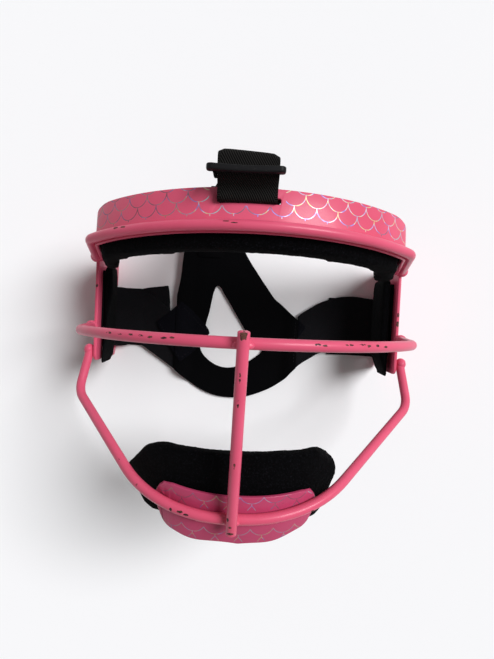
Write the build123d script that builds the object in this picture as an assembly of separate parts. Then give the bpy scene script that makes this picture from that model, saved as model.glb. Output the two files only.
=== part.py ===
from build123d import *
from math import cos, radians, sin, tan
import os

os.makedirs("parts", exist_ok=True)

# A face guard for softball, lying on its back with the face side up, in millimetres and degrees.
# X runs across the face, Y towards the top of the head and Z out of the face.
# Left and right are as seen from the front. "Reach" is a height above the table, along Z.

# Coated steel of the cage
rod = 5.0
sheet = 1.8
weld_radius = 3.7
weld_rise = 0.6
weld_gap = 0.02
cross_weld = 1.8
cross_weld_length = 9.0
fillet_bead = 1.5

# Side plates
plate_span = 178.4
plate_depth = 45.0
plate_top = 53.5
plate_back_top = 39.5
plate_bottom = -23.0
plate_corner = 3.0
plate_round = 4.0
plate_foot_round = 1.2

# Middle bar
mid_level = -2.8
mid_reach = 138.6
mid_flare = 2.05
mid_half_angle = 59.0
mid_leg_angle = 79.1
bar_bend = 10.0

# Brow bar and forehead band
brow_level = 47.3
brow_reach = 118.1
brow_flare = 0.48
brow_half_angle = 45.9
brow_leg_angle = 78.9
brow_pitch = 7.5
band_above_bar = 18.2
band_below_bar = 2.6

# Jaw bar
chin_level = -83.0
chin_reach = 116.4
chin_radius = 63.1
chin_half_flat = 34.3
chin_shift = -2.9
jaw_flare = 4.5
jaw_level = -39.6
jaw_reach = 53.5
jaw_bend = 14.0
jaw_end_above = 7.5
jaw_end_set = 4.0

# Centre bar, which stands in front of the middle bar and the jaw bar
bar_lean = -1.6
bar_above = 6.4
bar_below = 6.6

# Chin plate
chin_pitch = 16.0
chin_plate_shift = 1.4
chin_plate_width = 79.0
chin_plate_top = 11.6
chin_plate_bottom = 13.6
chin_plate_corner = 6.5
chin_wing = 42.0

# Hook tape and pads
tape = 1.2
tape_margin = 4.0
facing = 1.0
brow_foam = 11.0
brow_pad_above = 9.8
brow_pad_below = 9.4
brow_pad_set = 5.4
side_foam = 5.6
side_pad_set = 4.0
side_pad_over_slot = 3.55
side_pad_top = 34.5
side_pad_bottom = -27.0
side_pad_slant_level = -13.0
side_pad_corner = 5.0
chin_foam = 7.5
chin_pad_width = 108.0
chin_pad_height = 38.0
chin_pad_shift = -4.8
chin_pad_level = -71.5
chin_pad_corner = 8.0

# Strap slot in the forehead band
slot_end_play = 2.5
slot_side_play = 0.15
slot_round = 0.9
slot_above_bar = 11.0
slot_shift = -2.8

# Top strap, which wraps the strip above the slot and then the middle bar of its slider
webbing = 25.0
webbing_thickness = 1.5
strap_play = 1.15
strap_end_rise = 3.0
front_rise = 1.5
strap_shift = -3.8
strap_bend_drop = 2.3
crown_front_fall = 4.0
crown_front_drop = 18.3
crown_middle_level = 72.0
crown_middle_reach = 60.0
crown_overhang = 12.5
crown_back_reach = 16.0
crown_radius = 40.0
crown_turn = 5.0
crown_fold = 6.0

# Slider on the top strap
slider_above = 7.9
slider_rise = 6.0
slider_play = 1.3
slider_thickness = 3.4
slider_bow = 1.2
slider_bar = 3.6
slider_middle_bar = 3.4
window_play = 1.65
loop_play = 1.85
slider_side_bar = 2.9
slider_corner = 2.4
loop_above = 6.2

# Rear harness panel on the table, sewn to a tab on each side strap
panel = 2.2
harness_height = 110.5
harness_top = 62.0
harness_corner = 3.0
arm_lift = 4.0
left_strap_reach = 41.3
right_strap_reach = 54.1
left_strap_short = 1.8
right_strap_short = 6.6
arm_flat = 3.0
arm_slope = 8.0
apex_patch = 0.9
apex_patch_width = 18.0
apex_patch_height = 13.0
apex_patch_back = 4.0

# Elastic side straps, each round the bar of its slot, with a hook tail underneath
elastic = 38.0
elastic_thickness = 1.6
strap_level = 3.0
strap_drop = 20.0
strap_upper_reach = 3.2
strap_bend = 8.0
strap_round = 1.5
wrap_play = 0.45
wrap_corner = 0.5
strap_off_table = 0.4
tail_root = 17.0
left_tail_length = 18.0
right_tail_length = 16.5
left_tail_shift = 3.0
right_tail_shift = 0.0
hook_patch = 0.8
hook_patch_length = 10.0
hook_patch_margin = 2.0
slot_play = 1.0
slot_bar = 4.5
slot_opening = 4.5

# Fits
clearance = 0.3
overrun = 10.0

rod_radius = rod / 2
plate_outer = plate_span / 2
plate_inner = plate_outer - sheet
bar_out = (plate_outer + plate_inner) / 2
bar_wrap = slot_bar / 2 + wrap_play + elastic_thickness / 2
slot_bar_reach = strap_off_table + bar_wrap + elastic_thickness / 2
slot_height = webbing_thickness + strap_play + slot_side_play
table = Plane.XY
side_view = Plane(origin=(0, 0, 0), x_dir=(0, 1, 0), z_dir=(1, 0, 0))
end_view = Plane(origin=(0, 0, 0), x_dir=(1, 0, 0), z_dir=(0, -1, 0))
sides = {"left": -1, "right": 1}


def pitched(x, level, reach, pitch):
    # A plane across the face whose local Y points forwards, raised by the pitch, with its normal down.
    slope = radians(pitch)
    return Plane(origin=(x, level, reach), x_dir=(1, 0, 0), z_dir=(0, -cos(slope), sin(slope)))


def bow(radius, half_angle, bend, leg_angle, back, inset=0.0):
    # Half outline of a bowed bar from its middle: arc end, bend end and leg end, with the arcs' middles.
    turn = radians(half_angle)
    leg = radians(leg_angle)
    arc = radius - inset
    small = bend - inset
    centre = (radius - bend) * sin(turn), (radius - bend) * cos(turn) - radius
    mid_turn = (turn + leg) / 2
    arc_end = arc * sin(turn), arc * cos(turn) - radius
    bend_mid = centre[0] + small * sin(mid_turn), centre[1] + small * cos(mid_turn)
    bend_end = centre[0] + small * sin(leg), centre[1] + small * cos(leg)
    leg_end = bend_end[0] + (bend_end[1] - back) / tan(leg), back
    return arc_end, bend_mid, bend_end, leg_end


def bow_radius(foot, half_angle, bend, leg_angle, back):
    # The arc radius that brings the legs of a bowed bar to the foot, measured from its middle.
    turn = radians(half_angle)
    leg = radians(leg_angle)
    bend_out = bend * (sin(leg) - sin(turn))
    leg_out = (bend * (cos(leg) - cos(turn)) - back) / tan(leg)
    return (foot - bend_out - leg_out) / (sin(turn) + (cos(turn) - 1) / tan(leg))


def flip(point):
    return -point[0], point[1]


def bow_line(half, apex):
    arc_end, bend_mid, bend_end, leg_end = half
    left = [
        Line(flip(leg_end), flip(bend_end)),
        ThreePointArc(flip(bend_end), flip(bend_mid), flip(arc_end)),
    ]
    right = [
        ThreePointArc(arc_end, bend_mid, bend_end),
        Line(bend_end, leg_end),
    ]
    return Curve() + left + [ThreePointArc(flip(arc_end), (0, apex), arc_end)] + right


def bow_area(half, apex):
    return make_face(bow_line(half, apex) + Line(half[-1], flip(half[-1])))


def round_bar(path, radius=rod_radius):
    return sweep(Plane(origin=path @ 0, z_dir=path % 0) * Circle(radius), path=path)


def shifted_line(points, distance):
    # The same polyline moved sideways, with mitred corners.
    moved = []
    for index, point in enumerate(points):
        before = Vector(*points[max(index - 1, 0)])
        here = Vector(*point)
        after = Vector(*points[min(index + 1, len(points) - 1)])
        first = (here - before).normalized() if index else (after - here).normalized()
        second = (after - here).normalized() if index < len(points) - 1 else first
        normal = Vector(-first.Y - second.Y, first.X + second.X).normalized()
        stretch = distance / normal.dot(Vector(-first.Y, first.X))
        moved.append(here + normal * stretch)
    return [(point.X, point.Y) for point in moved]


def ribbon(points, radii, thickness):
    # A flat band seen on its edge: a rounded polyline with an even thickness about it.
    half = thickness / 2
    turns = []
    for before, here, after in zip(points, points[1:], points[2:]):
        rise = (here[0] - before[0]) * (after[1] - here[1])
        fall = (here[1] - before[1]) * (after[0] - here[0])
        turns.append(1 if rise > fall else -1)
    edges = []
    for side in (1, -1):
        side_radii = [radius - side * turn * half for radius, turn in zip(radii, turns)]
        edges.append(FilletPolyline(*shifted_line(points, side * half), radius=side_radii))
    ends = [Line(edges[0] @ 0, edges[1] @ 0), Line(edges[0] @ 1, edges[1] @ 1)]
    return make_face(Curve() + edges + ends)


def outline(shares, width, height, centre_x, centre_y, radius):
    # A rounded outline whose corners are shares of a width and a height about a centre.
    points = [(centre_x + width * across, centre_y + height * up) for across, up in shares]
    return make_face(FilletPolyline(*points, radius=radius, close=True))


def rows(face, plane, low, high):
    # The face in a pitched plane, raised from low to high above the plane on its upper side.
    return extrude(plane.offset(-low) * face, amount=low - high)


def without(shape, *metal):
    for piece in metal:
        shape -= piece
    return shape


def bead(centre, size, *metal):
    return without(Pos(*centre) * Sphere(size), *metal)


# Bars of the cage
mid_plane = pitched(0, mid_level, mid_reach, 0.0)
mid_back = plate_depth + rod_radius * cos(radians(mid_leg_angle)) - mid_reach
mid_bends = mid_half_angle, bar_bend, mid_leg_angle
mid_half = bow(bow_radius(bar_out + mid_flare, *mid_bends, mid_back), *mid_bends, mid_back)
mid_bar = round_bar(mid_plane * bow_line(mid_half, 0))

brow_plane = pitched(0, brow_level, brow_reach, brow_pitch)
brow_slope = radians(brow_pitch)
brow_end_rise = rod_radius * cos(radians(brow_leg_angle)) + rod_radius * sin(brow_slope)
brow_back = (plate_depth + brow_end_rise - brow_reach) / cos(brow_slope)
brow_bends = brow_half_angle, bar_bend, brow_leg_angle
brow_radius = bow_radius(bar_out + brow_flare, *brow_bends, brow_back)
brow_size = brow_radius, *brow_bends
brow_half = bow(*brow_size, brow_back)
brow_bar = round_bar(brow_plane * bow_line(brow_half, 0))

jaw_foot = plate_outer + rod_radius, plate_bottom + jaw_end_above, plate_depth - jaw_end_set
jaw_ends = [Vector(side * jaw_foot[0], *jaw_foot[1:]) for side in (-1, 1)]
jaw_bends = [Vector(side * (plate_outer + jaw_flare), jaw_level, jaw_reach) for side in (-1, 1)]
chin_corners = [Vector(chin_shift + side * chin_half_flat, chin_level, chin_reach) for side in (-1, 1)]
jaw_points = jaw_ends[0], jaw_bends[0], chin_corners[0], chin_corners[1], jaw_bends[1], jaw_ends[1]
chin_wings = [bend - corner for bend, corner in zip(jaw_bends, chin_corners)]
chin_turn = radians(max(wing.get_angle(Vector(wing.X, 0, 0)) for wing in chin_wings))
chin_bend = min(chin_radius, (chin_half_flat - clearance) / tan(chin_turn / 2))
jaw_path = FilletPolyline(*jaw_points, radius=(jaw_bend, chin_bend, chin_bend, jaw_bend))
jaw_bar = round_bar(jaw_path)

cross_top = Vector(bar_lean, mid_level, mid_reach)
cross_bottom = Vector(chin_shift, chin_level, chin_reach)
run = (cross_bottom - cross_top).normalized()
forward = Vector(0, run.Z, -run.Y).normalized() * rod
centre_top = cross_top + forward - run * bar_above
centre_bottom = cross_bottom + forward + run * bar_below
centre_bar = round_bar(Line(centre_top, centre_bottom)) - mid_bar - jaw_bar

# Forehead band, with the slot for the top strap
band_outer = bow(*brow_size, brow_back, rod_radius)
band_inner = bow(*brow_size, brow_back, rod_radius + sheet)
band_face = bow_area(band_outer, -rod_radius) - bow_area(band_inner, -rod_radius - sheet)
forehead_band = rows(band_face, brow_plane, -band_below_bar, band_above_bar)
slot_middle = slot_above_bar + slot_height / 2
slot_face = RectangleRounded(webbing + slot_end_play * 2, slot_height, slot_round)
slot_tool = extrude(slot_face, amount=overrun, both=True)
slot_at = Plane(brow_plane.location * Pos(slot_shift, 0, -slot_middle) * Rot(X=90))
forehead_band -= slot_at * slot_tool
forehead_band -= brow_bar

# Side plates, each with a strap slot and a recess that leaves a bar behind it
slot_half = elastic / 2 + slot_play
bar_low = slot_bar_reach - slot_bar / 2
bar_high = slot_bar_reach + slot_bar / 2
plate_corners = [
    (plate_top, plate_depth),
    (plate_back_top, 0),
    (plate_bottom + plate_corner, 0),
    (plate_bottom, plate_corner),
    (plate_bottom, plate_depth),
]
plate_rounds = [plate_round, plate_round, plate_foot_round, plate_foot_round, plate_round]
plate_face = make_face(FilletPolyline(*plate_corners, radius=plate_rounds, close=True))
plate_face -= Pos(strap_level, bar_low / 2) * Rectangle(slot_half * 2, bar_low)
plate_face -= Pos(strap_level, bar_high + slot_opening / 2) * Rectangle(slot_half * 2, slot_opening)
side_plates = {}
for name, side in sides.items():
    side_plates[name] = extrude(side_view.offset(side * plate_inner) * plate_face, amount=side * sheet)

# Chin plate, which curves behind the jaw bar
chin_plane = pitched(chin_shift, chin_level, chin_reach, -chin_pitch)
chin_slope = radians(chin_pitch)
chin_front = Plane(chin_plane.origin, x_dir=(1, 0, 0), z_dir=(0, -sin(chin_slope), cos(chin_slope)))
wing_run = chin_wings[1]
wing_back = Vector(0, wing_run.Y, wing_run.Z).length
wing_ratio = chin_wing / Vector(wing_run.X, wing_back).length
wing_x = wing_run.X * wing_ratio
wing_y = wing_back * wing_ratio
chin_line = [
    (-chin_half_flat - wing_x, -wing_y),
    (-chin_half_flat, 0),
    (chin_half_flat, 0),
    (chin_half_flat + wing_x, -wing_y),
]


def chin_wall(inset, thickness, low, high):
    # An even wall that follows the chin bend of the jaw bar, inset behind the bar's centre line.
    depth = inset + thickness / 2
    line = shifted_line(chin_line, -depth)
    return rows(ribbon(line, [chin_bend - depth] * 2, thickness), chin_plane, low, high)


chin_plate_shares = [
    (-0.5, 0.1), (-0.4, 0.5), (-0.06, 0.42), (0.4, 0.42), (0.5, 0.1),
    (0.42, -0.3), (0.02, -0.5), (-0.42, -0.36),
]
chin_plate_height = chin_plate_top + chin_plate_bottom
chin_plate_centre = (chin_plate_top - chin_plate_bottom) / 2
chin_outline = outline(
    chin_plate_shares,
    chin_plate_width,
    chin_plate_height,
    chin_plate_shift,
    chin_plate_centre,
    chin_plate_corner,
)
chin_plate = chin_wall(rod_radius, sheet, -chin_plate_bottom - overrun, chin_plate_top + overrun)
chin_plate &= extrude(chin_front * chin_outline, amount=-chin_radius)
chin_plate -= jaw_bar

# Chin pad on its hook tape: foam with a looped facing, wider than the plate that carries it
chin_tape_inset = rod_radius + sheet
chin_tape_outline = outline(
    chin_plate_shares,
    chin_plate_width - tape_margin * 2,
    chin_plate_height - tape_margin * 2,
    chin_plate_shift,
    chin_plate_centre,
    chin_plate_corner / 2,
)
chin_hook_tape = chin_wall(chin_tape_inset, tape, -chin_plate_bottom, chin_plate_top)
chin_hook_tape &= extrude(chin_front * chin_tape_outline, amount=-chin_radius)
chin_pad_shares = [
    (-0.5, 0.0), (-0.38, 0.5), (0.0, 0.47), (0.38, 0.5), (0.5, 0.04),
    (0.42, -0.5), (-0.42, -0.48),
]
chin_pad_outline = outline(
    chin_pad_shares, chin_pad_width, chin_pad_height, chin_pad_shift, chin_pad_level, chin_pad_corner
)
chin_pad_cut = extrude(table * chin_pad_outline, amount=chin_reach + overrun)
chin_facing_inset = chin_tape_inset + tape
chin_pad_layers = {}
for name, inset, depth in (
    ("facing", chin_facing_inset, facing),
    ("foam", chin_facing_inset + facing, chin_foam),
):
    layer = chin_wall(inset, depth, -chin_pad_height, chin_pad_height * 2)
    chin_pad_layers[name] = layer & chin_pad_cut

# Brow pad, which lines the forehead band round to the side plates
tape_inset = rod_radius + sheet
tape_back = brow_back + tape_margin
facing_inset = tape_inset + tape
foam_inset = facing_inset + facing
pad_back = (plate_depth + brow_pad_set - brow_reach) / cos(brow_slope)
leg_slope = radians(brow_leg_angle)
tape_face = bow_area(bow(*brow_size, tape_back, tape_inset), -tape_inset)
tape_face -= bow_area(bow(*brow_size, tape_back, facing_inset), -facing_inset)
brow_hook_tape = rows(tape_face, brow_plane, 0, brow_pad_above - tape_margin / 2)
facing_area = bow_area(bow(*brow_size, pad_back, facing_inset), -facing_inset)
foam_area = bow_area(bow(*brow_size, pad_back, foam_inset), -foam_inset)

# The space inside the foam, where its legs meet its arc without a bend
room_inset = foam_inset + brow_foam
room_wide = bow(*brow_size, pad_back)[-1][0] - room_inset / sin(leg_slope)
room_narrow = room_wide + pad_back / tan(leg_slope)
room_corners = (-room_wide, pad_back), (-room_narrow, 0), (room_narrow, 0), (room_wide, pad_back)
brow_room = make_face(Polyline(*room_corners, close=True))
brow_room = brow_room & (Pos(0, -brow_radius) * Circle(brow_radius - room_inset))
brow_pad_facing = rows(facing_area - foam_area, brow_plane, -brow_pad_below, brow_pad_above)
brow_pad_foam = rows(foam_area - brow_room, brow_plane, -brow_pad_below, brow_pad_above)

# Side pads on their hook tapes
side_pad_front = plate_depth - side_pad_set
side_pad_back = bar_high + slot_opening + side_pad_over_slot
pad_corners = [
    (side_pad_top, side_pad_front),
    (side_pad_top, side_pad_back),
    (side_pad_bottom, side_pad_back),
    (side_pad_bottom, side_pad_front),
]
pad_face = make_face(FilletPolyline(*pad_corners, radius=side_pad_corner, close=True))
side_tape_width = side_pad_top - side_pad_slant_level - tape_margin * 2
side_tape_height = side_pad_front - side_pad_back - tape_margin * 2
side_tape_at = (side_pad_top + side_pad_slant_level) / 2, (side_pad_front + side_pad_back) / 2
side_tape_face = Pos(*side_tape_at) * Rectangle(side_tape_width, side_tape_height)
side_layers = {}
for name, side in sides.items():
    for layer, face, depth, amount in (
        ("hook_tape", side_tape_face, 0, tape),
        ("pad_facing", pad_face, tape, facing),
        ("pad_foam", pad_face, tape + facing, side_foam),
    ):
        at = side_view.offset(side * (plate_inner - depth))
        side_layers[name + "_" + layer] = extrude(at * face, amount=-side * amount)
    foam_out = side * (plate_inner - tape - facing)
    taper = (foam_out, side_pad_bottom), (foam_out - side * side_foam, side_pad_slant_level)
    corner = foam_out - side * side_foam, side_pad_bottom
    wedge = make_face(Polyline(*taper, corner, close=True))
    side_layers[name + "_pad_foam"] -= extrude(wedge, amount=plate_depth)

# Weld beads where the bars meet the plates and each other
mid_end = mid_plane.from_local_coords((*mid_half[-1], 0))
brow_end = brow_plane.from_local_coords((*brow_half[-1], 0))
jaw_room = round_bar(jaw_path, rod_radius + weld_gap)
plate_room_depth = plate_depth + weld_gap
mid_welds = []
brow_welds = []
jaw_welds = []
for side in sides.values():
    plate = Pos(side * bar_out, 0, plate_room_depth / 2)
    plate *= Box(sheet + weld_gap * 2, plate_top * 2 + overrun, plate_room_depth)
    mid_weld_at = side * mid_end.X, mid_end.Y, plate_depth + weld_rise
    brow_weld_at = side * brow_end.X, brow_end.Y, plate_depth + weld_rise
    mid_welds.append(bead(mid_weld_at, weld_radius, mid_bar, plate))
    brow_welds.append(bead(brow_weld_at, weld_radius, brow_bar, plate, forehead_band))
    jaw_end = jaw_ends[0] if side < 0 else jaw_ends[1]
    jaw_run = (jaw_bends[0] if side < 0 else jaw_bends[1]) - jaw_end
    jaw_welds.append(bead(jaw_end + jaw_run.normalized() * fillet_bead, weld_radius, plate, jaw_room))
cross_welds = {}
for name, crossing in (("top", cross_top), ("bottom", cross_bottom)):
    contact = Plane(origin=crossing + forward / 2, z_dir=(1, 0, 0))
    filler = contact * Cylinder(cross_weld, cross_weld_length)
    cross_welds[name] = without(filler, mid_bar, jaw_room, centre_bar)
chin_bead_shares = 0.44, 0.5, 0.56
chin_bead_at = [jaw_path @ share for share in chin_bead_shares]
chin_bead_path = Pos(0, -rod_radius, -rod_radius) * ThreePointArc(*chin_bead_at)
chin_weld = round_bar(chin_bead_path, fillet_bead) - jaw_bar - chin_plate - centre_bar

# Top strap: up in front of the strip over the slot, round the slider, then back over the crown to the table
strip_local = -rod_radius - sheet / 2, -(slot_above_bar + slot_height + band_above_bar) / 2
strip = brow_plane.from_local_coords((0, *strip_local))
wrap_radius = (band_above_bar - slot_above_bar - slot_height + webbing_thickness) / 2 + strap_play
slider_level = strip.Y + slider_above
slider_reach = strip.Z + slider_rise
loop_half = (slider_middle_bar + webbing_thickness) / 2 + loop_play
loop_top = slider_level + loop_above
crown_front_level = slider_level - crown_front_fall
crown_back_level = harness_top + crown_overhang
front_layer = slider_reach + loop_half
rear_layer = slider_reach - loop_half
strap_line = [
    (strip.Y + strap_end_rise, strip.Z - wrap_radius),
    (strip.Y - wrap_radius, strip.Z - wrap_radius),
    (strip.Y - wrap_radius, strip.Z + wrap_radius),
    (strip.Y + front_rise, strip.Z + wrap_radius),
    (strip.Y + front_rise + loop_half, front_layer),
    (loop_top, front_layer),
    (loop_top, rear_layer),
    (crown_front_level, rear_layer),
    (crown_front_level, rear_layer - crown_front_drop),
    (crown_middle_level, crown_middle_reach),
    (crown_back_level, crown_back_reach),
    (crown_back_level, panel / 2),
    (harness_top + clearance * 2, panel / 2),
]
strap_radii = [
    wrap_radius / 2,
    wrap_radius / 2,
    crown_turn,
    crown_turn,
    loop_half / 2,
    loop_half / 2,
    crown_turn,
    crown_radius,
    crown_radius,
    crown_radius,
    crown_fold,
]
half_webbing = webbing / 2
strap_bend_reach = rear_layer - strap_bend_drop
left_seam_share = -0.405
right_seam_share = 0.295
apex_share = -0.224
left_seam = left_strap_reach - bar_out
right_seam = bar_out - right_strap_reach
harness_width = (right_seam - left_seam) / (right_seam_share - left_seam_share)
harness_middle = left_seam - left_seam_share * harness_width
crown_shift = harness_middle + apex_share * harness_width
strap_edge = [
    (strap_shift - half_webbing, front_layer + overrun),
    (strap_shift - half_webbing, strap_bend_reach),
    (crown_shift - half_webbing, 0),
    (crown_shift + half_webbing, 0),
    (strap_shift + half_webbing, strap_bend_reach),
    (strap_shift + half_webbing, front_layer + overrun),
]
strap_profile = side_view * ribbon(strap_line, strap_radii, webbing_thickness)
top_strap = extrude(strap_profile, amount=harness_width, both=True)
strap_front = make_face(Polyline(*strap_edge, close=True))
top_strap &= extrude(end_view * strap_front, amount=harness_width, both=True)

# Slider: a plate with two windows, seen on its edge, whose top is slightly bowed
slider_gap = window_play + webbing_thickness + loop_play
slider_depth = slider_bar * 2 + slider_gap * 2 + slider_middle_bar
slider_width = webbing + slider_play * 2 + slider_side_bar * 2
window = Rectangle(slider_width - slider_side_bar * 2, slider_gap)
window_rise = (slider_middle_bar + slider_gap) / 2
slider_face = RectangleRounded(slider_width, slider_depth, slider_corner)
slider_face -= [Pos(0, window_rise) * window, Pos(0, -window_rise) * window]
slider_at = Pos(strap_shift, slider_level, slider_reach)
slider_low = -slider_thickness / 2
slider_high = slider_thickness / 2
half_width = slider_width / 2
slider_edge = [
    ThreePointArc((-half_width, slider_high), (0, slider_high + slider_bow), (half_width, slider_high)),
    Line((half_width, slider_high), (half_width, slider_low)),
    ThreePointArc((half_width, slider_low), (0, slider_low + slider_bow), (-half_width, slider_low)),
    Line((-half_width, slider_low), (-half_width, slider_high)),
]
slider = slider_at * extrude(end_view * slider_face, amount=slider_thickness, both=True)
slider &= slider_at * extrude(make_face(Curve() + slider_edge), amount=slider_depth, both=True)

# Rear harness panel: flat on the table, raised towards the seams where its arms meet the side straps
harness_shares = [
    (-0.341, 0), (-0.374, -0.143), (-0.405, -0.344), (-0.382, -0.416), (-0.511, -0.557),
    (-0.448, -0.742), (-0.409, -0.831), (-0.27, -0.945), (-0.069, -1), (0.222, -0.876),
    (0.418, -0.705), (0.335, -0.546), (0.272, -0.491), (0.147, -0.38), (0.053, -0.256),
    (-0.024, -0.135), (-0.109, 0),
]
hole_shares = [
    (-0.178, -0.315), (-0.228, -0.574), (-0.209, -0.617), (-0.247, -0.71), (-0.101, -0.81),
    (0.087, -0.719), (-0.016, -0.571), (-0.036, -0.521),
]
harness_size = harness_width, harness_height, harness_middle, harness_top, harness_corner
harness_face = outline(harness_shares, *harness_size) - outline(hole_shares, *harness_size)
harness_prism = extrude(table * harness_face, amount=overrun)
low_middle = panel / 2
high_middle = panel / 2 + arm_lift
left_edge = left_seam + clearance / 2
right_edge = right_seam - clearance / 2
panel_line = [
    (left_edge, high_middle),
    (left_seam + arm_flat, high_middle),
    (left_seam + arm_flat + arm_slope, low_middle),
    (right_seam - arm_flat - arm_slope, low_middle),
    (right_seam - arm_flat, high_middle),
    (right_edge, high_middle),
]
panel_profile = end_view * ribbon(panel_line, [harness_corner] * 4, panel)
harness_panel = extrude(panel_profile, amount=harness_width, both=True) & harness_prism
apex_patch_shape = RectangleRounded(apex_patch_width, apex_patch_height, harness_corner)
apex_at = crown_shift, harness_top - apex_patch_back - apex_patch_height / 2, panel
harness_apex_patch = extrude(Pos(*apex_at) * apex_patch_shape, amount=apex_patch) - harness_panel

# Harness tabs on top of the side straps, which end at the seams
left_tab_shares = [
    (-0.382, -0.416), (-0.511, -0.557), (-0.448, -0.742), (-0.409, -0.831), (-0.27, -0.945),
    (-0.27, -0.416),
]
right_tab_shares = [
    (0.222, -0.443), (0.272, -0.491), (0.335, -0.546), (0.418, -0.705), (0.222, -0.876),
]
left_tab_face = outline(left_tab_shares, *harness_size[:-1], harness_corner / 2)
right_tab_face = outline(right_tab_shares, *harness_size[:-1], harness_corner / 2)
beyond = Rectangle(harness_width, harness_height * 2)
left_room = Pos(left_seam - clearance / 2 - harness_width / 2, 0) * beyond
right_room = Pos(right_seam + clearance / 2 + harness_width / 2, 0) * beyond
tab_table = table.offset(arm_lift)
left_tab = extrude(tab_table * (left_tab_face & left_room), amount=panel)
right_tab = extrude(tab_table * (right_tab_face & right_room), amount=panel)

# Side straps: from the tab out to the slot, round its bar and back underneath as a hook tail
lower_reach = elastic_thickness / 2
bar_wrap_round = bar_wrap - wrap_corner
wrap_run = [
    (strap_drop, strap_upper_reach),
    (0, slot_bar_reach + bar_wrap),
    (-bar_wrap, slot_bar_reach + bar_wrap),
    (-bar_wrap, slot_bar_reach - bar_wrap),
    (0, slot_bar_reach - bar_wrap),
    (bar_wrap * 2, lower_reach),
    (tail_root, lower_reach),
]
strap_bends = strap_bend, bar_wrap_round / 2, bar_wrap_round, bar_wrap_round, bar_wrap_round / 2, bar_wrap
strap_shares = {
    "left": [
        (-0.2, 0.5), (0.137, 0.5), (0.332, 0.49), (0.605, 0.366), (0.909, 0.137), (1, 0.05),
        (1, -0.853), (0.453, -0.474), (-0.2, -0.47),
    ],
    "right": [
        (-0.168, 0.47), (0.194, 0.437), (0.703, 0.476), (0.882, 0.395), (0.996, -0.05),
        (1, -0.3), (0.838, -0.497), (-0.168, -0.49),
    ],
}
strap_sizes = {
    "left": (left_strap_reach - left_strap_short, left_tail_length, left_tail_shift),
    "right": (right_strap_reach - right_strap_short, right_tail_length, right_tail_shift),
}
strap_pieces = {}
for name, side in sides.items():
    edge_on = Plane(origin=(side * bar_out, strap_level, 0), x_dir=(-side, 0, 0), z_dir=(0, side, 0))
    from_above = Plane(origin=(side * bar_out, strap_level, 0), x_dir=(-side, 0, 0), z_dir=(0, 0, -side))
    strap_length, length, shift = strap_sizes[name]
    plan = outline(strap_shares[name], strap_length, elastic, 0, 0, strap_round)
    strap_run = [(strap_length + strap_drop, strap_upper_reach), *wrap_run]
    strap = extrude(edge_on * ribbon(strap_run, strap_bends, elastic_thickness), amount=elastic, both=True)
    strap &= extrude(from_above * plan, amount=plate_depth, both=True)
    tail_face = Pos(tail_root + length / 2, shift * side) * Rectangle(length, elastic)
    tail = extrude(from_above * tail_face, amount=side * -elastic_thickness)
    patch_at = Pos(strap_drop + hook_patch_margin + hook_patch_length / 2, shift * side)
    patch_face = patch_at * Rectangle(hook_patch_length, elastic - hook_patch_margin * 4)
    patch = extrude(from_above.offset(side * -elastic_thickness) * patch_face, amount=side * -hook_patch)
    strap_pieces[name] = strap, tail, patch

parts = {
    "mid_bar": mid_bar,
    "brow_bar": brow_bar,
    "jaw_bar": jaw_bar,
    "centre_bar": centre_bar,
    "forehead_band": forehead_band,
    "left_side_plate": side_plates["left"],
    "right_side_plate": side_plates["right"],
    "chin_plate": chin_plate,
    "left_mid_bar_weld": mid_welds[0],
    "right_mid_bar_weld": mid_welds[1],
    "left_brow_bar_weld": brow_welds[0],
    "right_brow_bar_weld": brow_welds[1],
    "left_jaw_bar_weld": jaw_welds[0],
    "right_jaw_bar_weld": jaw_welds[1],
    "centre_bar_top_weld": cross_welds["top"],
    "centre_bar_bottom_weld": cross_welds["bottom"],
    "chin_plate_weld": chin_weld,
    "chin_hook_tape": chin_hook_tape,
    "chin_pad_facing": chin_pad_layers["facing"],
    "chin_pad_foam": chin_pad_layers["foam"],
    "brow_hook_tape": brow_hook_tape,
    "brow_pad_facing": brow_pad_facing,
    "brow_pad_foam": brow_pad_foam,
    "top_strap": top_strap,
    "strap_slider": slider,
    "harness_panel": harness_panel,
    "harness_apex_patch": harness_apex_patch,
    "left_harness_tab": left_tab,
    "right_harness_tab": right_tab,
}
for name, layer in side_layers.items():
    parts[name] = layer
for name, (strap, tail, patch) in strap_pieces.items():
    parts[name + "_side_strap"] = strap
    parts[name + "_strap_tail"] = tail
    parts[name + "_hook_patch"] = patch

# The origin is the middle of the whole box on the table
boxes = [shape.bounding_box() for shape in parts.values()]
lows = [min(getattr(box.min, axis) for box in boxes) for axis in "XYZ"]
highs = [max(getattr(box.max, axis) for box in boxes) for axis in "XYZ"]
home = Pos(-(lows[0] + highs[0]) / 2, -(lows[1] + highs[1]) / 2, -lows[2])
for name, shape in parts.items():
    placed = home * shape
    export_step(placed, "parts/" + name + ".step")
    size = placed.bounding_box().size
    print(name, len(placed.solids()), round(placed.volume, 1), size)
hinges = {
    "top strap": (strap_shift, strip.Y, strip.Z),
    "slider": (strap_shift, slider_level, slider_reach),
    "harness": (crown_shift, harness_top + clearance, panel),
    "left strap": (-bar_out, strap_level, slot_bar_reach),
    "right strap": (bar_out, strap_level, slot_bar_reach),
}
print("home", home.position)
for name, point in hinges.items():
    print(name, home.position + Vector(*point))
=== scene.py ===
import math
from math import radians

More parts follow.
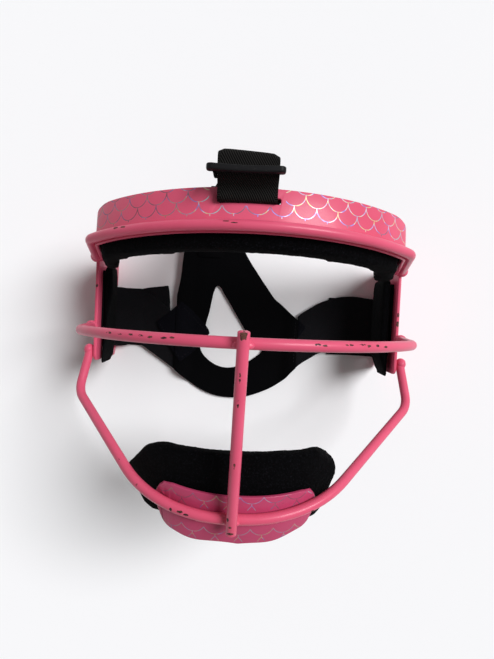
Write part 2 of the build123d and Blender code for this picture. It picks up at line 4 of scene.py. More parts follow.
import bpy
import numpy as np
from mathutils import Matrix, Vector


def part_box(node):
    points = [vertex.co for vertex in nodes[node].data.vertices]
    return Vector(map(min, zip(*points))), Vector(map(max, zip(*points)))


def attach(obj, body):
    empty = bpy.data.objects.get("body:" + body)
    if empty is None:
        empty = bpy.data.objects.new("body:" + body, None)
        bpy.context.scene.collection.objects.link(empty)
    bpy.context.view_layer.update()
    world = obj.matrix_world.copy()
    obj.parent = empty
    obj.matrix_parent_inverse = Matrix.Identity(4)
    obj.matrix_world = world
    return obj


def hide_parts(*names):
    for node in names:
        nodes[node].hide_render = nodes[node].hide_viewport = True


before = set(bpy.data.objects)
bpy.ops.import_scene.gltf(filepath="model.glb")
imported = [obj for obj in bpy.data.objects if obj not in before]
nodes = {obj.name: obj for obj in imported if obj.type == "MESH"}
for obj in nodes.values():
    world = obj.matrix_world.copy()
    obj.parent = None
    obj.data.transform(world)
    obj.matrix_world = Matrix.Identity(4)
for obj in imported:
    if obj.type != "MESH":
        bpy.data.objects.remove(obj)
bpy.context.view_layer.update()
millimetre = 0.001
print("part loaded:", len(nodes), "nodes")


# small tools shared by all pieces
def selectOnly(piece):
    if bpy.context.mode != "OBJECT":
        bpy.ops.object.mode_set(mode="OBJECT")
    bpy.ops.object.select_all(action="DESELECT")
    piece.select_set(True)
    bpy.context.view_layer.objects.active = piece


def editAll(piece):
    selectOnly(piece)
    bpy.ops.object.mode_set(mode="EDIT")
    bpy.ops.mesh.select_all(action="SELECT")


def toObject():
    bpy.ops.object.mode_set(mode="OBJECT")


def copyOf(name, *sources):
    # one new mesh from copies of CAD nodes, with its doubles merged and its flat faces joined
    copies = []
    for source in sources:
        piece = nodes[source].copy()
        piece.data = nodes[source].data.copy()
        piece.parent = None
        for key in [key for key in piece.keys() if key.startswith("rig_")]:
            del piece[key]
        bpy.context.scene.collection.objects.link(piece)
        copies.append(piece)
    selectOnly(copies[0])
    for piece in copies[1:]:
        piece.select_set(True)
    if len(copies) > 1:
        bpy.ops.object.join()
    piece = bpy.context.view_layer.objects.active
    piece.name = name
    piece.data.name = name
    piece.data.materials.clear()
    if piece.data.has_custom_normals:
        bpy.ops.mesh.customdata_custom_splitnormals_clear()
    editAll(piece)
    bpy.ops.mesh.remove_doubles(threshold=0.002 * millimetre)
    bpy.ops.mesh.dissolve_limited(angle_limit=radians(0.6))
    toObject()
    return piece


def applyModifier(piece, kind, **settings):
    selectOnly(piece)
    modifier = piece.modifiers.new(kind, kind)
    for key, value in settings.items():
        setattr(modifier, key, value)
    bpy.ops.object.modifier_apply(modifier=modifier.name)


def roundEdges(piece, width, segments=2, angle=35.0):
    applyModifier(
        piece, "BEVEL", width=width * millimetre, segments=segments, limit_method="ANGLE",
        angle_limit=radians(angle), use_clamp_overlap=False, miter_outer="MITER_ARC",
    )


def smoothByAngle(piece, angle=35.0):
    selectOnly(piece)
    bpy.ops.object.shade_smooth_by_angle(angle=radians(angle))


def cutAt(piece, axis, levels):
    # flat cuts right through a piece
    normal = [0.0, 0.0, 0.0]
    normal[axis] = 1.0
    editAll(piece)
    for level in levels:
        place = [0.0, 0.0, 0.0]
        place[axis] = level
        bpy.ops.mesh.select_all(action="SELECT")
        bpy.ops.mesh.bisect(plane_co=place, plane_no=normal)
    toObject()


def cutEvenly(piece, axis, gap):
    # gives a sheet points to bend at
    low = min(vertex.co[axis] for vertex in piece.data.vertices)
    high = max(vertex.co[axis] for vertex in piece.data.vertices)
    count = max(1, int((high - low) / (gap * millimetre)))
    cutAt(piece, axis, [low + (high - low) * index / count for index in range(1, count)])


def points(piece):
    co = np.zeros(len(piece.data.vertices) * 3)
    piece.data.vertices.foreach_get("co", co)
    return co.reshape(-1, 3)


def setPoints(piece, co):
    piece.data.vertices.foreach_set("co", np.asarray(co, float).ravel())
    piece.data.update()


def fade(value, start, over):
    # from 0 at the start to 1 when it is over; a minus turns it round
    return np.clip((value - start) / over, 0.0, 1.0)


def eased(share):
    return share * share * (3 - 2 * share)


def bump(value, height, centre, spread):
    return height * np.exp(-((value - centre) / spread) ** 2)


def finishPiece(piece, body, material, replaces=()):
    piece.data.materials.clear()
    piece.data.materials.append(material)
    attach(piece, body)
    if replaces:
        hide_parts(*replaces)


def trimmedCopy(name, node, body, material, rim, segments=2, angle=35.0):
    piece = copyOf(name, node)
    roundEdges(piece, rim, segments)
    smoothByAngle(piece, angle)
    finishPiece(piece, body, material, [node])


# node shorthand for the materials
def addNode(tree, kind, inputs=None, **settings):
    made = tree.nodes.new(kind)
    for key, value in settings.items():
        setattr(made, key, value)
    for key, value in (inputs or {}).items():
        if isinstance(value, bpy.types.NodeSocket):
            tree.links.new(value, made.inputs[key])
        else:
            made.inputs[key].default_value = value
    return made


def calc(tree, operation, first, second=0.0, third=0.0):
    made = addNode(tree, "ShaderNodeMath", {0: first, 1: second, 2: third}, operation=operation)
    return made.outputs[0]


def ramp(tree, factor, stops):
    made = addNode(tree, "ShaderNodeValToRGB", {0: factor})
    line = made.color_ramp
    while len(line.elements) < len(stops):
        line.elements.new(0.5)
    for element, (place, colour) in zip(line.elements, stops):
        element.position = place
        element.color = (*colour, 1.0)
    return made.outputs[0]


def mixColour(tree, factor, first, second):
    made = addNode(tree, "ShaderNodeMix", {0: factor, 6: first, 7: second}, data_type="RGBA")
    return made.outputs[2]


def noise(tree, where, scale, detail=2.0, roughness=0.5):
    inputs = {"Vector": where, "Scale": scale, "Detail": detail, "Roughness": roughness}
    return addNode(tree, "ShaderNodeTexNoise", inputs).outputs[0]


def steps(tree, value, low, high):
    inputs = {0: value, 1: low, 2: high, 3: 0.0, 4: 1.0}
    return addNode(tree, "ShaderNodeMapRange", inputs, interpolation_type="SMOOTHSTEP").outputs[0]


def startMaterial(name):
    material = bpy.data.materials.new(name)
    material.use_nodes = True
    tree = material.node_tree
    tree.nodes.clear()
    shader = addNode(tree, "ShaderNodeBsdfPrincipled")
    addNode(tree, "ShaderNodeOutputMaterial", {0: shader.outputs[0]})
    where = addNode(tree, "ShaderNodeTexCoord").outputs["Object"]
    return material, tree, shader, where


def link(tree, value, shader, socket):
    tree.links.new(value, shader.inputs[socket])


def relief(tree, shader, strength, distance, height):
    made = addNode(tree, "ShaderNodeBump", {"Strength": strength, "Distance": distance, "Height": height})
    link(tree, made.outputs[0], shader, "Normal")


# camera, light and floor
viewpoint = {
    "place": (-0.0016327, 0.0184780, 0.3345543),
    "turn": (-2.01287, -0.28279, 2.75457),
    "focalPixels": 495.0,
    "frameHeight": 659.0,
    "sensor": 36.0,
    "nearest": 0.01,
    "furthest": 20.0,
}
studio = {
    "keyPlace": (0.66, 0.4, 0.9),
    "keyAngle": 30.0,
    "keyPower": 3.5,
    "keyColour": (0.97, 0.975, 1.0),
    "worldStrength": 0.17,
    "worldColour": (1.0, 0.985, 0.97, 1.0),
    "floorColour": (0.95, 0.95, 0.95, 1.0),
    "floorShade": (0.945, 0.945, 0.945, 1.0),
    "floorScale": 3.0,
    "floorSize": 6.0,
}


def keyLight():
    lamp = bpy.data.lights.new("keyLight", "SUN")
    lamp.angle = radians(studio["keyAngle"])
    lamp.energy = studio["keyPower"]
    lamp.color = studio["keyColour"]
    holder = bpy.data.objects.new("keyLight", lamp)
    bpy.context.scene.collection.objects.link(holder)
    holder.location = studio["keyPlace"]
    holder.rotation_euler = (-Vector(studio["keyPlace"])).to_track_quat("-Z", "Y").to_euler()


def makeStudio():
    lens = bpy.data.cameras.new("photoCamera")
    lens.sensor_width = viewpoint["sensor"]
    lens.lens = viewpoint["focalPixels"] / viewpoint["frameHeight"] * viewpoint["sensor"]
    lens.clip_start = viewpoint["nearest"]
    lens.clip_end = viewpoint["furthest"]
    camera = bpy.data.objects.new("photoCamera", lens)
    bpy.context.scene.collection.objects.link(camera)
    camera.location = viewpoint["place"]
    camera.rotation_euler = [radians(angle) for angle in viewpoint["turn"]]
    bpy.context.scene.camera = camera
    bpy.context.scene.view_settings.view_transform = "Standard"
    keyLight()
    world = bpy.data.worlds.new("studioWorld")
    bpy.context.scene.world = world
    world.use_nodes = True
    tree = world.node_tree
    tree.nodes.clear()
    # the world is white where it is seen, and dimmer as a light
    path = addNode(tree, "ShaderNodeLightPath")
    seen = calc(tree, "MAXIMUM", path.outputs["Is Camera Ray"], path.outputs["Is Glossy Ray"])
    seen = calc(tree, "MAXIMUM", seen, path.outputs["Is Transmission Ray"])
    strength = calc(tree, "MULTIPLY_ADD", seen, 1.0 - studio["worldStrength"], studio["worldStrength"])
    sky = addNode(tree, "ShaderNodeBackground", {"Color": studio["worldColour"], "Strength": strength})
    addNode(tree, "ShaderNodeOutputWorld", {0: sky.outputs[0]})
    bpy.ops.object.select_all(action="DESELECT")
    bpy.ops.mesh.primitive_plane_add(size=studio["floorSize"], location=(0.0, 0.0, 0.0))
    floor = bpy.context.active_object
    floor.name = "studioFloor"
    material, tree, shader, where = startMaterial("paleFloor")
    uneven = steps(tree, noise(tree, where, studio["floorScale"]), 0.3, 0.7)
    shade = mixColour(tree, uneven, studio["floorColour"], studio["floorShade"])
    link(tree, shade, shader, "Base Color")
    shader.inputs["Roughness"].default_value = 0.9
    shader.inputs["Specular IOR Level"].default_value = 0.1
    floor.data.materials.append(material)


makeStudio()
print("studio ready")

# the coat on the steel, its mottling and its worn places; the chin plate's darker pinks are painted shade
coat = {
    "pink": (0.68, 0.092, 0.172, 1.0),
    "deepPink": (0.56, 0.05, 0.1, 1.0),
    # painted shade: darker pinks for the chin plate
    "shadedPlatePink": (0.46, 0.052, 0.13, 1.0),
    "shadedPlateDeepPink": (0.39, 0.036, 0.095, 1.0),
    "bareMetal": (0.10, 0.036, 0.024, 1.0),
    "primer": (0.02, 0.007, 0.007, 1.0),
    "roughness": 0.34,
    "specular": 0.2,
    "clearCoat": 0.08,
    "clearRoughness": 0.12,
    "foilMetal": 0.22,
    "mottleScale": 38.0,
    "mottle": 0.35,
    "roughScale": 160.0,
    "roughSpread": 0.08,
    "peelScale": 420.0,
    "peelDepth": 0.06,
    "gritScale": 2600.0,
    "gritDepth": 0.008,
    "bumpDistance": 0.0004,
    "wearEdge": (1.0, 0.35),
    "chipScale": 700.0,
    "chipGain": 2.2,
    "chipShift": -0.6,
    "chipEdge": (1.17, 1.2),
    "chipRough": 0.35,
    "chipDepth": -0.5,
    "rimEdge": (1.13, 1.18),
    "rimShade": 0.55,
    "bareScale": 500.0,
}


def wornPlaces(tree, where, spots):
    # how close a point is to the nearest worn place: each is a centre, its three half sizes and a weight
    worn = 0.0
    for centre, sizes, weight in spots:
        middle = [spot * millimetre for spot in centre]
        away = addNode(tree, "ShaderNodeVectorMath", {0: where, 1: middle}, operation="SUBTRACT").outputs[0]
        shrink = [1.0 / (size * millimetre) for size in sizes]
        scaled = addNode(tree, "ShaderNodeVectorMath", {0: away, 1: shrink}, operation="MULTIPLY").outputs[0]
        length = addNode(tree, "ShaderNodeVectorMath", {0: scaled}, operation="LENGTH").outputs["Value"]
        near = calc(tree, "MULTIPLY", steps(tree, length, *coat["wearEdge"]), weight)
        worn = near if isinstance(worn, float) else calc(tree, "MAXIMUM", worn, near)
    return worn


def coatedSteel(name, spots=(), foil=None, shades=("pink", "deepPink")):
    material, tree, shader, where = startMaterial(name)
    mottled = steps(tree, noise(tree, where, coat["mottleScale"], 3.0), 0.35, 0.75)
    mottled = calc(tree, "MULTIPLY", mottled, coat["mottle"])
    colour = mixColour(tree, mottled, coat[shades[0]], coat[shades[1]])
    metallic = 0.0
    if foil:
        mask, foilColour = foil(tree, where)
        colour = mixColour(tree, mask, colour, foilColour)
        metallic = calc(tree, "MULTIPLY", mask, coat["foilMetal"])
    uneven = noise(tree, where, coat["roughScale"], 2.0)
    smoothest = coat["roughness"] - coat["roughSpread"] / 2
    roughness = calc(tree, "MULTIPLY_ADD", uneven, coat["roughSpread"], smoothest)
    peel = calc(tree, "MULTIPLY", noise(tree, where, coat["peelScale"], 1.0), coat["peelDepth"])
    grit = calc(tree, "MULTIPLY", noise(tree, where, coat["gritScale"], 1.0), coat["gritDepth"])
    height = calc(tree, "ADD", peel, grit)
    if spots:
        grain = noise(tree, where, coat["chipScale"], 4.0, 0.62)
        grain = calc(tree, "MULTIPLY_ADD", grain, coat["chipGain"], coat["chipShift"])
        worn = calc(tree, "ADD", wornPlaces(tree, where, spots), grain)
        chip = steps(tree, worn, *coat["chipEdge"])
        rim = calc(tree, "MULTIPLY", steps(tree, worn, *coat["rimEdge"]), coat["rimShade"])
        bare = steps(tree, noise(tree, where, coat["bareScale"]), 0.4, 0.6)
        bare = mixColour(tree, bare, coat["primer"], coat["bareMetal"])
        colour = mixColour(tree, rim, colour, coat["deepPink"])
        colour = mixColour(tree, chip, colour, bare)
        roughness = calc(tree, "MULTIPLY_ADD", chip, coat["chipRough"], roughness)
        height = calc(tree, "MULTIPLY_ADD", chip, coat["chipDepth"], height)
        if metallic:
            metallic = calc(tree, "MULTIPLY", metallic, calc(tree, "SUBTRACT", 1.0, chip))
    link(tree, colour, shader, "Base Color")
    link(tree, roughness, shader, "Roughness")
    if metallic:
        link(tree, metallic, shader, "Metallic")
    relief(tree, shader, 0.5, coat["bumpDistance"], height)
    shader.inputs["Specular IOR Level"].default_value = coat["specular"]
    shader.inputs["Coat Weight"].default_value = coat["clearCoat"]
    shader.inputs["Coat Roughness"].default_value = coat["clearRoughness"]
    return material


# scale pattern in foil, in millimetres
scales = {
    "width": 10.72,
    "line": 0.19,
    "top": 40.0,
    "far": 9.0,
    "outside": -60.0,
    "facing": 0.6,
    "bandDepth": 5.45,
    "bandStart": 5.75,
    "bandShift": 2.18,
    "stub": 0.75,
    "slotRoom": (-2.8, 17.2, 9.6),
    "chinDepth": 3.4,
    "chinRow": 17.2,
    "chinStart": -10.8,
    "chinShift": 3.3,
    "chinStub": 1.0,
    "legReach": 1.9,
    "legDrop": 2.5,
}
foilLook = {
    "tintScale": 95.0,
    "stops": [
        (0.30, (0.09, 0.07, 0.09)), (0.42, (0.20, 0.18, 0.25)), (0.47, (0.20, 0.26, 0.70)),
        (0.51, (0.54, 0.54, 0.66)), (0.55, (0.62, 0.52, 0.22)), (0.61, (0.36, 0.34, 0.50)),
        (0.72, (0.26, 0.52, 0.52)),
    ],
    # painted shade: the band's foil is mixed with this dark colour towards its left side
    "shadedFoil": (0.085, 0.05, 0.06, 1.0),
    "shadedFoilShare": 0.7,
    "leftShadeEdge": (-0.042, -0.014),
    # painted shade: the chin plate's foil is mixed with this dark colour all over
    "chinShadedFoil": (0.13, 0.06, 0.08, 1.0),
    "chinShadedFoilShare": 0.5,
    "chinAmount": 0.75,
}


def foilShade(tree, where):
    # changing tints, with painted shade darkening them towards the left side
    rainbow = ramp(tree, noise(tree, where, foilLook["tintScale"], 2.0, 0.6), foilLook["stops"])
    side = addNode(tree, "ShaderNodeSeparateXYZ", {0: where}).outputs[0]
    shadedFoil = mixColour(tree, foilLook["shadedFoilShare"], rainbow, foilLook["shadedFoil"])
    return mixColour(tree, steps(tree, side, *foilLook["leftShadeEdge"]), shadedFoil, rainbow)


def unless(tree, distance, outside):
    # puts a line out of sight where the test holds
    return calc(tree, "ADD", distance, calc(tree, "MULTIPLY", outside, scales["far"]))


def scallops(tree, shift, start, row, depth, stub, legs=False, room=None):
    # rows of arcs that hang from a shared line, each row moved by half an arc from the one below
    uv = addNode(tree, "ShaderNodeUVMap", uv_map="pattern").outputs[0]
    split = addNode(tree, "ShaderNodeSeparateXYZ", {0: uv})
    along, up = split.outputs[0], split.outputs[1]
    width, line = scales["width"], scales["line"]
    level = calc(tree, "DIVIDE", calc(tree, "SUBTRACT", up, start), row)
    count = calc(tree, "FLOOR", level)
    rise = calc(tree, "MULTIPLY", calc(tree, "SUBTRACT", level, count), row)
    odd = calc(tree, "FLOORED_MODULO", count, 2.0)
    moved = calc(tree, "MULTIPLY_ADD", odd, width / 2, calc(tree, "SUBTRACT", along, shift - width / 2))
    across = calc(tree, "SUBTRACT", calc(tree, "FLOORED_MODULO", moved, width), width / 2)
    radius = (width * width / 4 + depth * depth) / (2 * depth)
    high = calc(tree, "SUBTRACT", rise, radius)
    reach = calc(tree, "SQRT", calc(tree, "MULTIPLY_ADD", across, across, calc(tree, "MULTIPLY", high, high)))
    arc = calc(tree, "ABSOLUTE", calc(tree, "SUBTRACT", reach, radius))
    arc = unless(tree, arc, calc(tree, "GREATER_THAN", rise, depth))
    arc = unless(tree, arc, calc(tree, "LESS_THAN", level, 0.0))
    # the stub under each low point, seen from the row that it hangs into
    below = calc(tree, "SUBTRACT", row, rise)
    half = calc(tree, "FLOORED_MODULO", calc(tree, "ADD", moved, width / 2), width)
    side = calc(tree, "ABSOLUTE", calc(tree, "SUBTRACT", half, width / 2))
    down = calc(tree, "SUBTRACT", below, stub)
    nearest = calc(tree, "MAXIMUM", side, down)
    if legs:
        # two legs that part at the stub's foot
        long = math.hypot(scales["legReach"], scales["legDrop"])
        outShare, downShare = scales["legReach"] / long, scales["legDrop"] / long
        aside = calc(tree, "MULTIPLY", side, downShare)
        leg = calc(tree, "ABSOLUTE", calc(tree, "SUBTRACT", aside, calc(tree, "MULTIPLY", down, outShare)))
        run = calc(tree, "MULTIPLY_ADD", side, outShare, calc(tree, "MULTIPLY", down, downShare))
        leg = unless(tree, leg, calc(tree, "GREATER_THAN", run, long))
        leg = unless(tree, leg, calc(tree, "LESS_THAN", down, 0.0))
        nearest = calc(tree, "MINIMUM", nearest, leg)
    else:
        lowest = calc(tree, "COMPARE", count, -1.0, 0.1)
        nearest = unless(tree, nearest, calc(tree, "SUBTRACT", 1.0, lowest))
    nearest = calc(tree, "MINIMUM", arc, nearest)
    nearest = unless(tree, nearest, calc(tree, "GREATER_THAN", up, scales["top"]))
    if room:
        inside = calc(tree, "ABSOLUTE", calc(tree, "SUBTRACT", along, room[0]))
        inside = calc(tree, "LESS_THAN", inside, room[1])
        inside = calc(tree, "MULTIPLY", inside, calc(tree, "GREATER_THAN", up, room[2]))
        nearest = unless(tree, nearest, inside)
    return steps(tree, nearest, line * 1.25, line * 0.75)


def bandFoil(tree, where):
    mask = scallops(tree, scales["bandShift"], scales["bandStart"], scales["bandDepth"], scales["bandDepth"],
                    scales["stub"], room=scales["slotRoom"])
    return mask, foilShade(tree, where)


def chinFoil(tree, where):
    mask = scallops(tree, scales["chinShift"], scales["chinStart"], scales["chinRow"], scales["chinDepth"],
                    scales["chinStub"], legs=True)
    # the foil on the chin plate is darkened by painted shade
    shade = mixColour(tree, foilLook["chinShadedFoilShare"], foilShade(tree, where), foilLook["chinShadedFoil"])
    return calc(tree, "MULTIPLY", mask, foilLook["chinAmount"]), shade


bandShape = {
    "origin": (0.012, 56.182, 118.1),
    "pitch": 7.5,
    "radius": 110.606,
    "turn": 45.9,
    "leg": 78.9,
    "bend": 10.0,
    "inset": 2.5,
    "cornerCuts": (-76.0, -74.0, -72.0, -70.0, 70.0, 72.0, 74.0, 76.0),
    "cornerFade": (70.5, 9.5),
    "cornerRise": (2.0, 16.0),
    "cornerDrop": 5.5,
    "slotEnd": (-18.5, -16.5),
    "slotRise": (10.8, 14.0),
    "slotMove": 2.2,
}
chinShape = {
    "origin": (-2.888, -74.118, 116.4),
    "pitch": -16.0,
    "radius": 63.1,
    "flat": 4.33,
    "inset": 2.5,
    "gap": 2.5,
    "fuller": ((2.1, -33.2, 2.4), (1.7, 36.0, 2.2)),
    "fullerRise": (1.5, 3.0),
    "deeper": (2.1, 18.5, 9.0),
    "deeperRise": (1.0, 6.0),
    "stretch": 0.16,
}
centreEnd = {
    "from": -60.0,
    "shorter": 0.125,
    "rise": 0.33,
}


def bandPlace(x, y):
    # distance along the outer face of the band from its middle
    radius, turn, leg = bandShape["radius"], radians(bandShape["turn"]), radians(bandShape["leg"])
    bend, inset = bandShape["bend"], bandShape["inset"]
    first = (radius - inset) * turn
    second = (bend - inset) * (leg - turn)
    cx, cy = (radius - bend) * math.sin(turn), (radius - bend) * math.cos(turn) - radius
    side = 1.0 if x >= 0 else -1.0
    x = abs(x)
    angle = math.atan2(x, y + radius)
    if angle <= turn:
        return side * (radius - inset) * angle
    angle = math.atan2(x - cx, y - cy)
    if angle <= leg:
        return side * (first + (bend - inset) * (max(angle, turn) - turn))
    return side * (first + second + (x - cx) * math.cos(leg) - (y - cy) * math.sin(leg))


def chinPlace(x, y):
    radius, flat, inset = chinShape["radius"], chinShape["flat"], chinShape["inset"]
    side = 1.0 if x >= 0 else -1.0
    x = abs(x)
    if x <= flat:
        return side * x
    return side * (flat + (radius - inset) * math.atan2(x - flat, y + radius))


def frameOf(piece, shape):
    # the curved plate's own directions, and its points from its origin in millimetres
    slope = radians(shape["pitch"])
    outward = np.array([0.0, math.sin(slope), math.cos(slope)])
    upward = np.array([0.0, math.cos(slope), -math.sin(slope)])
    return outward, upward, points(piece) / millimetre - np.array(shape["origin"])


def patternMap(piece, shape, place):
    # a map in millimetres on the outer face; the other faces get a place outside the pattern
    outward, upward, spots = frameOf(piece, shape)
    layer = piece.data.uv_layers.new(name="pattern")
    for face in piece.data.polygons:
        radial = np.array(face.center) / millimetre - np.array(shape["origin"]) + outward * shape["radius"]
        radial -= upward * (radial @ upward)
        shown = np.array(face.normal) @ radial > scales["facing"] * np.linalg.norm(radial)
        for index in face.loop_indices:
            spot = spots[piece.data.loops[index].vertex_index]
            high = spot @ upward if shown else scales["outside"]
            layer.data[index].uv = (place(spot[0], spot @ outward), high)


midBarSpots = [
    ((-80.0, 4.4, 70.0), (9.0, 2.0, 12.0), 0.66),
    ((-59.9, 6.8, 120.0), (3.0, 0.8, 3.0), 0.74),
    ((-54.0, 6.7, 124.3), (3.5, 0.7, 2.5), 0.76),
    ((-48.6, 6.9, 127.8), (3.0, 0.7, 2.5), 0.8),
    ((-44.3, 6.8, 130.2), (3.0, 0.8, 2.0), 0.76),
    ((-39.7, 6.5, 132.5), (3.0, 0.9, 2.0), 0.84),
    ((-33.5, 6.5, 135.1), (3.5, 0.8, 2.0), 0.86),
    ((-30.0, 6.9, 136.0), (2.5, 0.7, 1.5), 0.8),
    ((28.5, 6.8, 136.7), (2.6, 0.9, 1.5), 0.9),
    ((31.6, 6.5, 135.8), (2.4, 0.7, 1.5), 0.84),
    ((42.4, 7.0, 131.0), (4.5, 0.7, 2.5), 0.74),
    ((48.5, 7.2, 127.8), (3.5, 0.7, 2.5), 0.78),
    ((51.8, 6.6, 126.0), (2.2, 1.0, 1.6), 0.92),
    ((56.5, 6.8, 122.8), (4.0, 0.9, 3.0), 0.78),
    ((60.6, 6.3, 119.8), (2.6, 0.8, 2.4), 0.82),
    ((68.0, 5.6, 96.0), (6.0, 1.0, 9.0), 0.62),
]
browBarSpots = [
    ((-70.0, 56.6, 92.0), (2.4, 1.4, 5.0), 0.84),
    ((-64.3, 55.0, 100.2), (3.0, 1.0, 3.0), 0.9),
    ((-60.1, 55.2, 103.1), (2.6, 0.8, 2.4), 0.8),
    ((-11.5, 57.3, 119.7), (3.0, 0.5, 1.5), 0.76),
    ((-8.0, 56.7, 120.2), (3.0, 0.5, 1.5), 0.76),
    ((60.0, 55.0, 98.0), (5.0, 0.8, 6.0), 0.6),
]
jawBarSpots = [
    ((-30.6, -71.9, 114.7), (1.2, 1.6, 2.0), 0.98),
    ((-26.4, -72.1, 116.0), (2.6, 1.0, 1.6), 0.88),
    ((-23.4, -73.0, 116.8), (2.2, 0.8, 1.4), 0.84),
    ((-17.5, -71.5, 118.4), (3.5, 0.6, 1.4), 0.78),
    ((33.5, -70.8, 111.5), (2.0, 0.8, 1.8), 0.84),
    ((-48.0, -64.6, 105.7), (1.0, 1.2, 1.5), 0.92),
    ((-86.0, -40.0, 66.0), (4.0, 4.0, 5.0), 0.62),
    ((-62.0, -56.0, 95.0), (5.0, 3.0, 6.0), 0.48),
]
centreBarSpots = [
    ((-1.6, 9.4, 147.0), (2.6, 3.2, 2.4), 1.04),
    ((-1.5, 11.6, 145.0), (1.3, 1.2, 2.4), 0.8),
    ((-2.2, -7.2, 142.7), (0.7, 5.0, 2.0), 0.8),
    ((-2.5, -18.0, 139.7), (0.7, 4.0, 2.0), 0.78),
    ((-2.9, -45.2, 132.2), (0.8, 2.4, 1.5), 0.9),
    ((-4.6, -71.3, 124.3), (0.9, 1.8, 1.5), 0.92),
    ((-3.4, -74.8, 124.1), (1.1, 0.8, 1.5), 1.0),
    ((-3.2, -77.9, 123.2), (2.4, 0.9, 2.4), 0.98),
]
plateSpots = [
    ((88.3, 21.0, 45.0), (1.4, 2.2, 1.0), 0.84),
    ((88.3, 15.6, 45.0), (1.4, 2.8, 1.0), 0.84),
    ((-88.3, 30.0, 45.0), (1.2, 2.0, 1.0), 0.74),
    ((88.3, 4.0, 0.5), (1.4, 4.0, 0.8), 0.68),
    ((-88.3, 6.0, 0.5), (1.4, 5.0, 0.8), 0.7),
]
bandSpots = [
    ((24.0, 73.6, 113.6), (2.4, 0.7, 1.6), 0.72),
    ((34.0, 73.4, 111.0), (1.6, 0.7, 1.4), 0.72),
    ((43.0, 73.2, 107.5), (1.5, 0.7, 1.4), 0.7),
    ((15.6, 66.2, 114.0), (1.6, 1.2, 1.4), 0.64),
]
chinSpots = [
    ((20.0, -66.0, 112.0), (0.35, 4.5, 3.0), 0.64),
    ((-25.0, -78.0, 108.0), (2.0, 1.0, 2.0), 0.58),
]
metalNodes = {
    "mid_bar": coatedSteel("coatedMidBar", midBarSpots),
    "brow_bar": coatedSteel("coatedBrowBar", browBarSpots),
    "jaw_bar": coatedSteel("coatedJawBar", jawBarSpots),
}
for name, material in metalNodes.items():
    nodes[name].data.materials.clear()
    nodes[name].data.materials.append(material)

plainCoat = coatedSteel("coatedWelds")
plateCoat = coatedSteel("coatedPlates", plateSpots)
centreBar = copyOf("centreBar", "centre_bar")
barPoints = points(centreBar) / millimetre
shorter = np.maximum(0.0, centreEnd["from"] - barPoints[:, 1]) * centreEnd["shorter"]
barPoints += shorter[:, None] * np.array([0.0, 1.0, centreEnd["rise"]])
setPoints(centreBar, barPoints * millimetre)
roundEdges(centreBar, 0.35, 3, 50.0)
smoothByAngle(centreBar)
centreCoat = coatedSteel("coatedCentreBar", centreBarSpots)
finishPiece(centreBar, "cage", centreCoat, ["centre_bar"])

for side in ("left", "right"):
    trimmedCopy(side + "SidePlate", side + "_side_plate", "cage", plateCoat, 0.5, 3)

band = copyOf("foreheadBand", "forehead_band")
cutAt(band, 0, [level * millimetre for level in bandShape["cornerCuts"]])
upward, spots = frameOf(band, bandShape)[1:]
rise = spots @ upward
corner = fade(np.abs(spots[:, 0]), *bandShape["cornerFade"])  # the two upper corners are rounded off
drop = bandShape["cornerDrop"] * (1 - np.sqrt(1 - corner ** 2)) * fade(rise, *bandShape["cornerRise"])
spots = spots - drop[:, None] * upward
slotEnd = (spots[:, 0] > bandShape["slotEnd"][0]) & (spots[:, 0] < bandShape["slotEnd"][1])
slotEnd &= (rise > bandShape["slotRise"][0]) & (rise < bandShape["slotRise"][1])
spots[:, 0] += np.where(slotEnd, bandShape["slotMove"], 0.0)
setPoints(band, (spots + np.array(bandShape["origin"])) * millimetre)
roundEdges(band, 0.45, 3)
smoothByAngle(band, 30.0)
patternMap(band, bandShape, bandPlace)
bandCoat = coatedSteel("patternedBand", bandSpots, bandFoil)
finishPiece(band, "cage", bandCoat, ["forehead_band"])

chinPlate = copyOf("chinPlate", "chin_plate")
cutEvenly(chinPlate, 0, chinShape["gap"])
outward, upward, spots = frameOf(chinPlate, chinShape)
rise = spots @ upward
around = np.degrees(np.arctan2(spots[:, 0], spots @ outward + chinShape["radius"]))
fuller = sum(bump(around, *part) for part in chinShape["fuller"]) * fade(rise, *chinShape["fullerRise"])
deeper = chinShape["stretch"] * rise - bump(np.abs(around), *chinShape["deeper"])
deeper = deeper * fade(-rise, *chinShape["deeperRise"])
spots += (fuller + deeper)[:, None] * upward
setPoints(chinPlate, (spots + np.array(chinShape["origin"])) * millimetre)
roundEdges(chinPlate, 0.45, 3)
smoothByAngle(chinPlate, 30.0)
patternMap(chinPlate, chinShape, chinPlace)
# the chin plate gets the darker pinks of painted shade
chinCoat = coatedSteel("patternedChinPlate", chinSpots, chinFoil, ("shadedPlatePink", "shadedPlateDeepPink"))
finishPiece(chinPlate, "cage", chinCoat, ["chin_plate"])

beads = {
    "ripple": 0.35,
    "rippleScale": 0.0026,
    "rings": 16,
}


def weldBead(name, node, stretch):
    # a lumpy ball of filler in the place of a weld node
    low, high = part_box(node)
    bpy.ops.object.select_all(action="DESELECT")
    bpy.ops.mesh.primitive_uv_sphere_add(
        segments=beads["rings"] * 2, ring_count=beads["rings"], radius=1.0, location=(low + high) / 2,
        scale=[(high - low)[axis] / 2 * stretch[axis] for axis in range(3)],
    )
    piece = bpy.context.active_object
    piece.name = name
    piece.data.name = name
    bpy.ops.object.transform_apply(location=True, rotation=True, scale=True)
    texture = bpy.data.textures.new(name + "Ripple", "CLOUDS")
    texture.noise_scale = beads["rippleScale"]
    applyModifier(
        piece, "DISPLACE", texture=texture, strength=beads["ripple"] * millimetre, mid_level=0.5,
        texture_coords="LOCAL",
    )
    smoothByAngle(piece, 60.0)
    finishPiece(piece, "cage", plainCoat, [node])


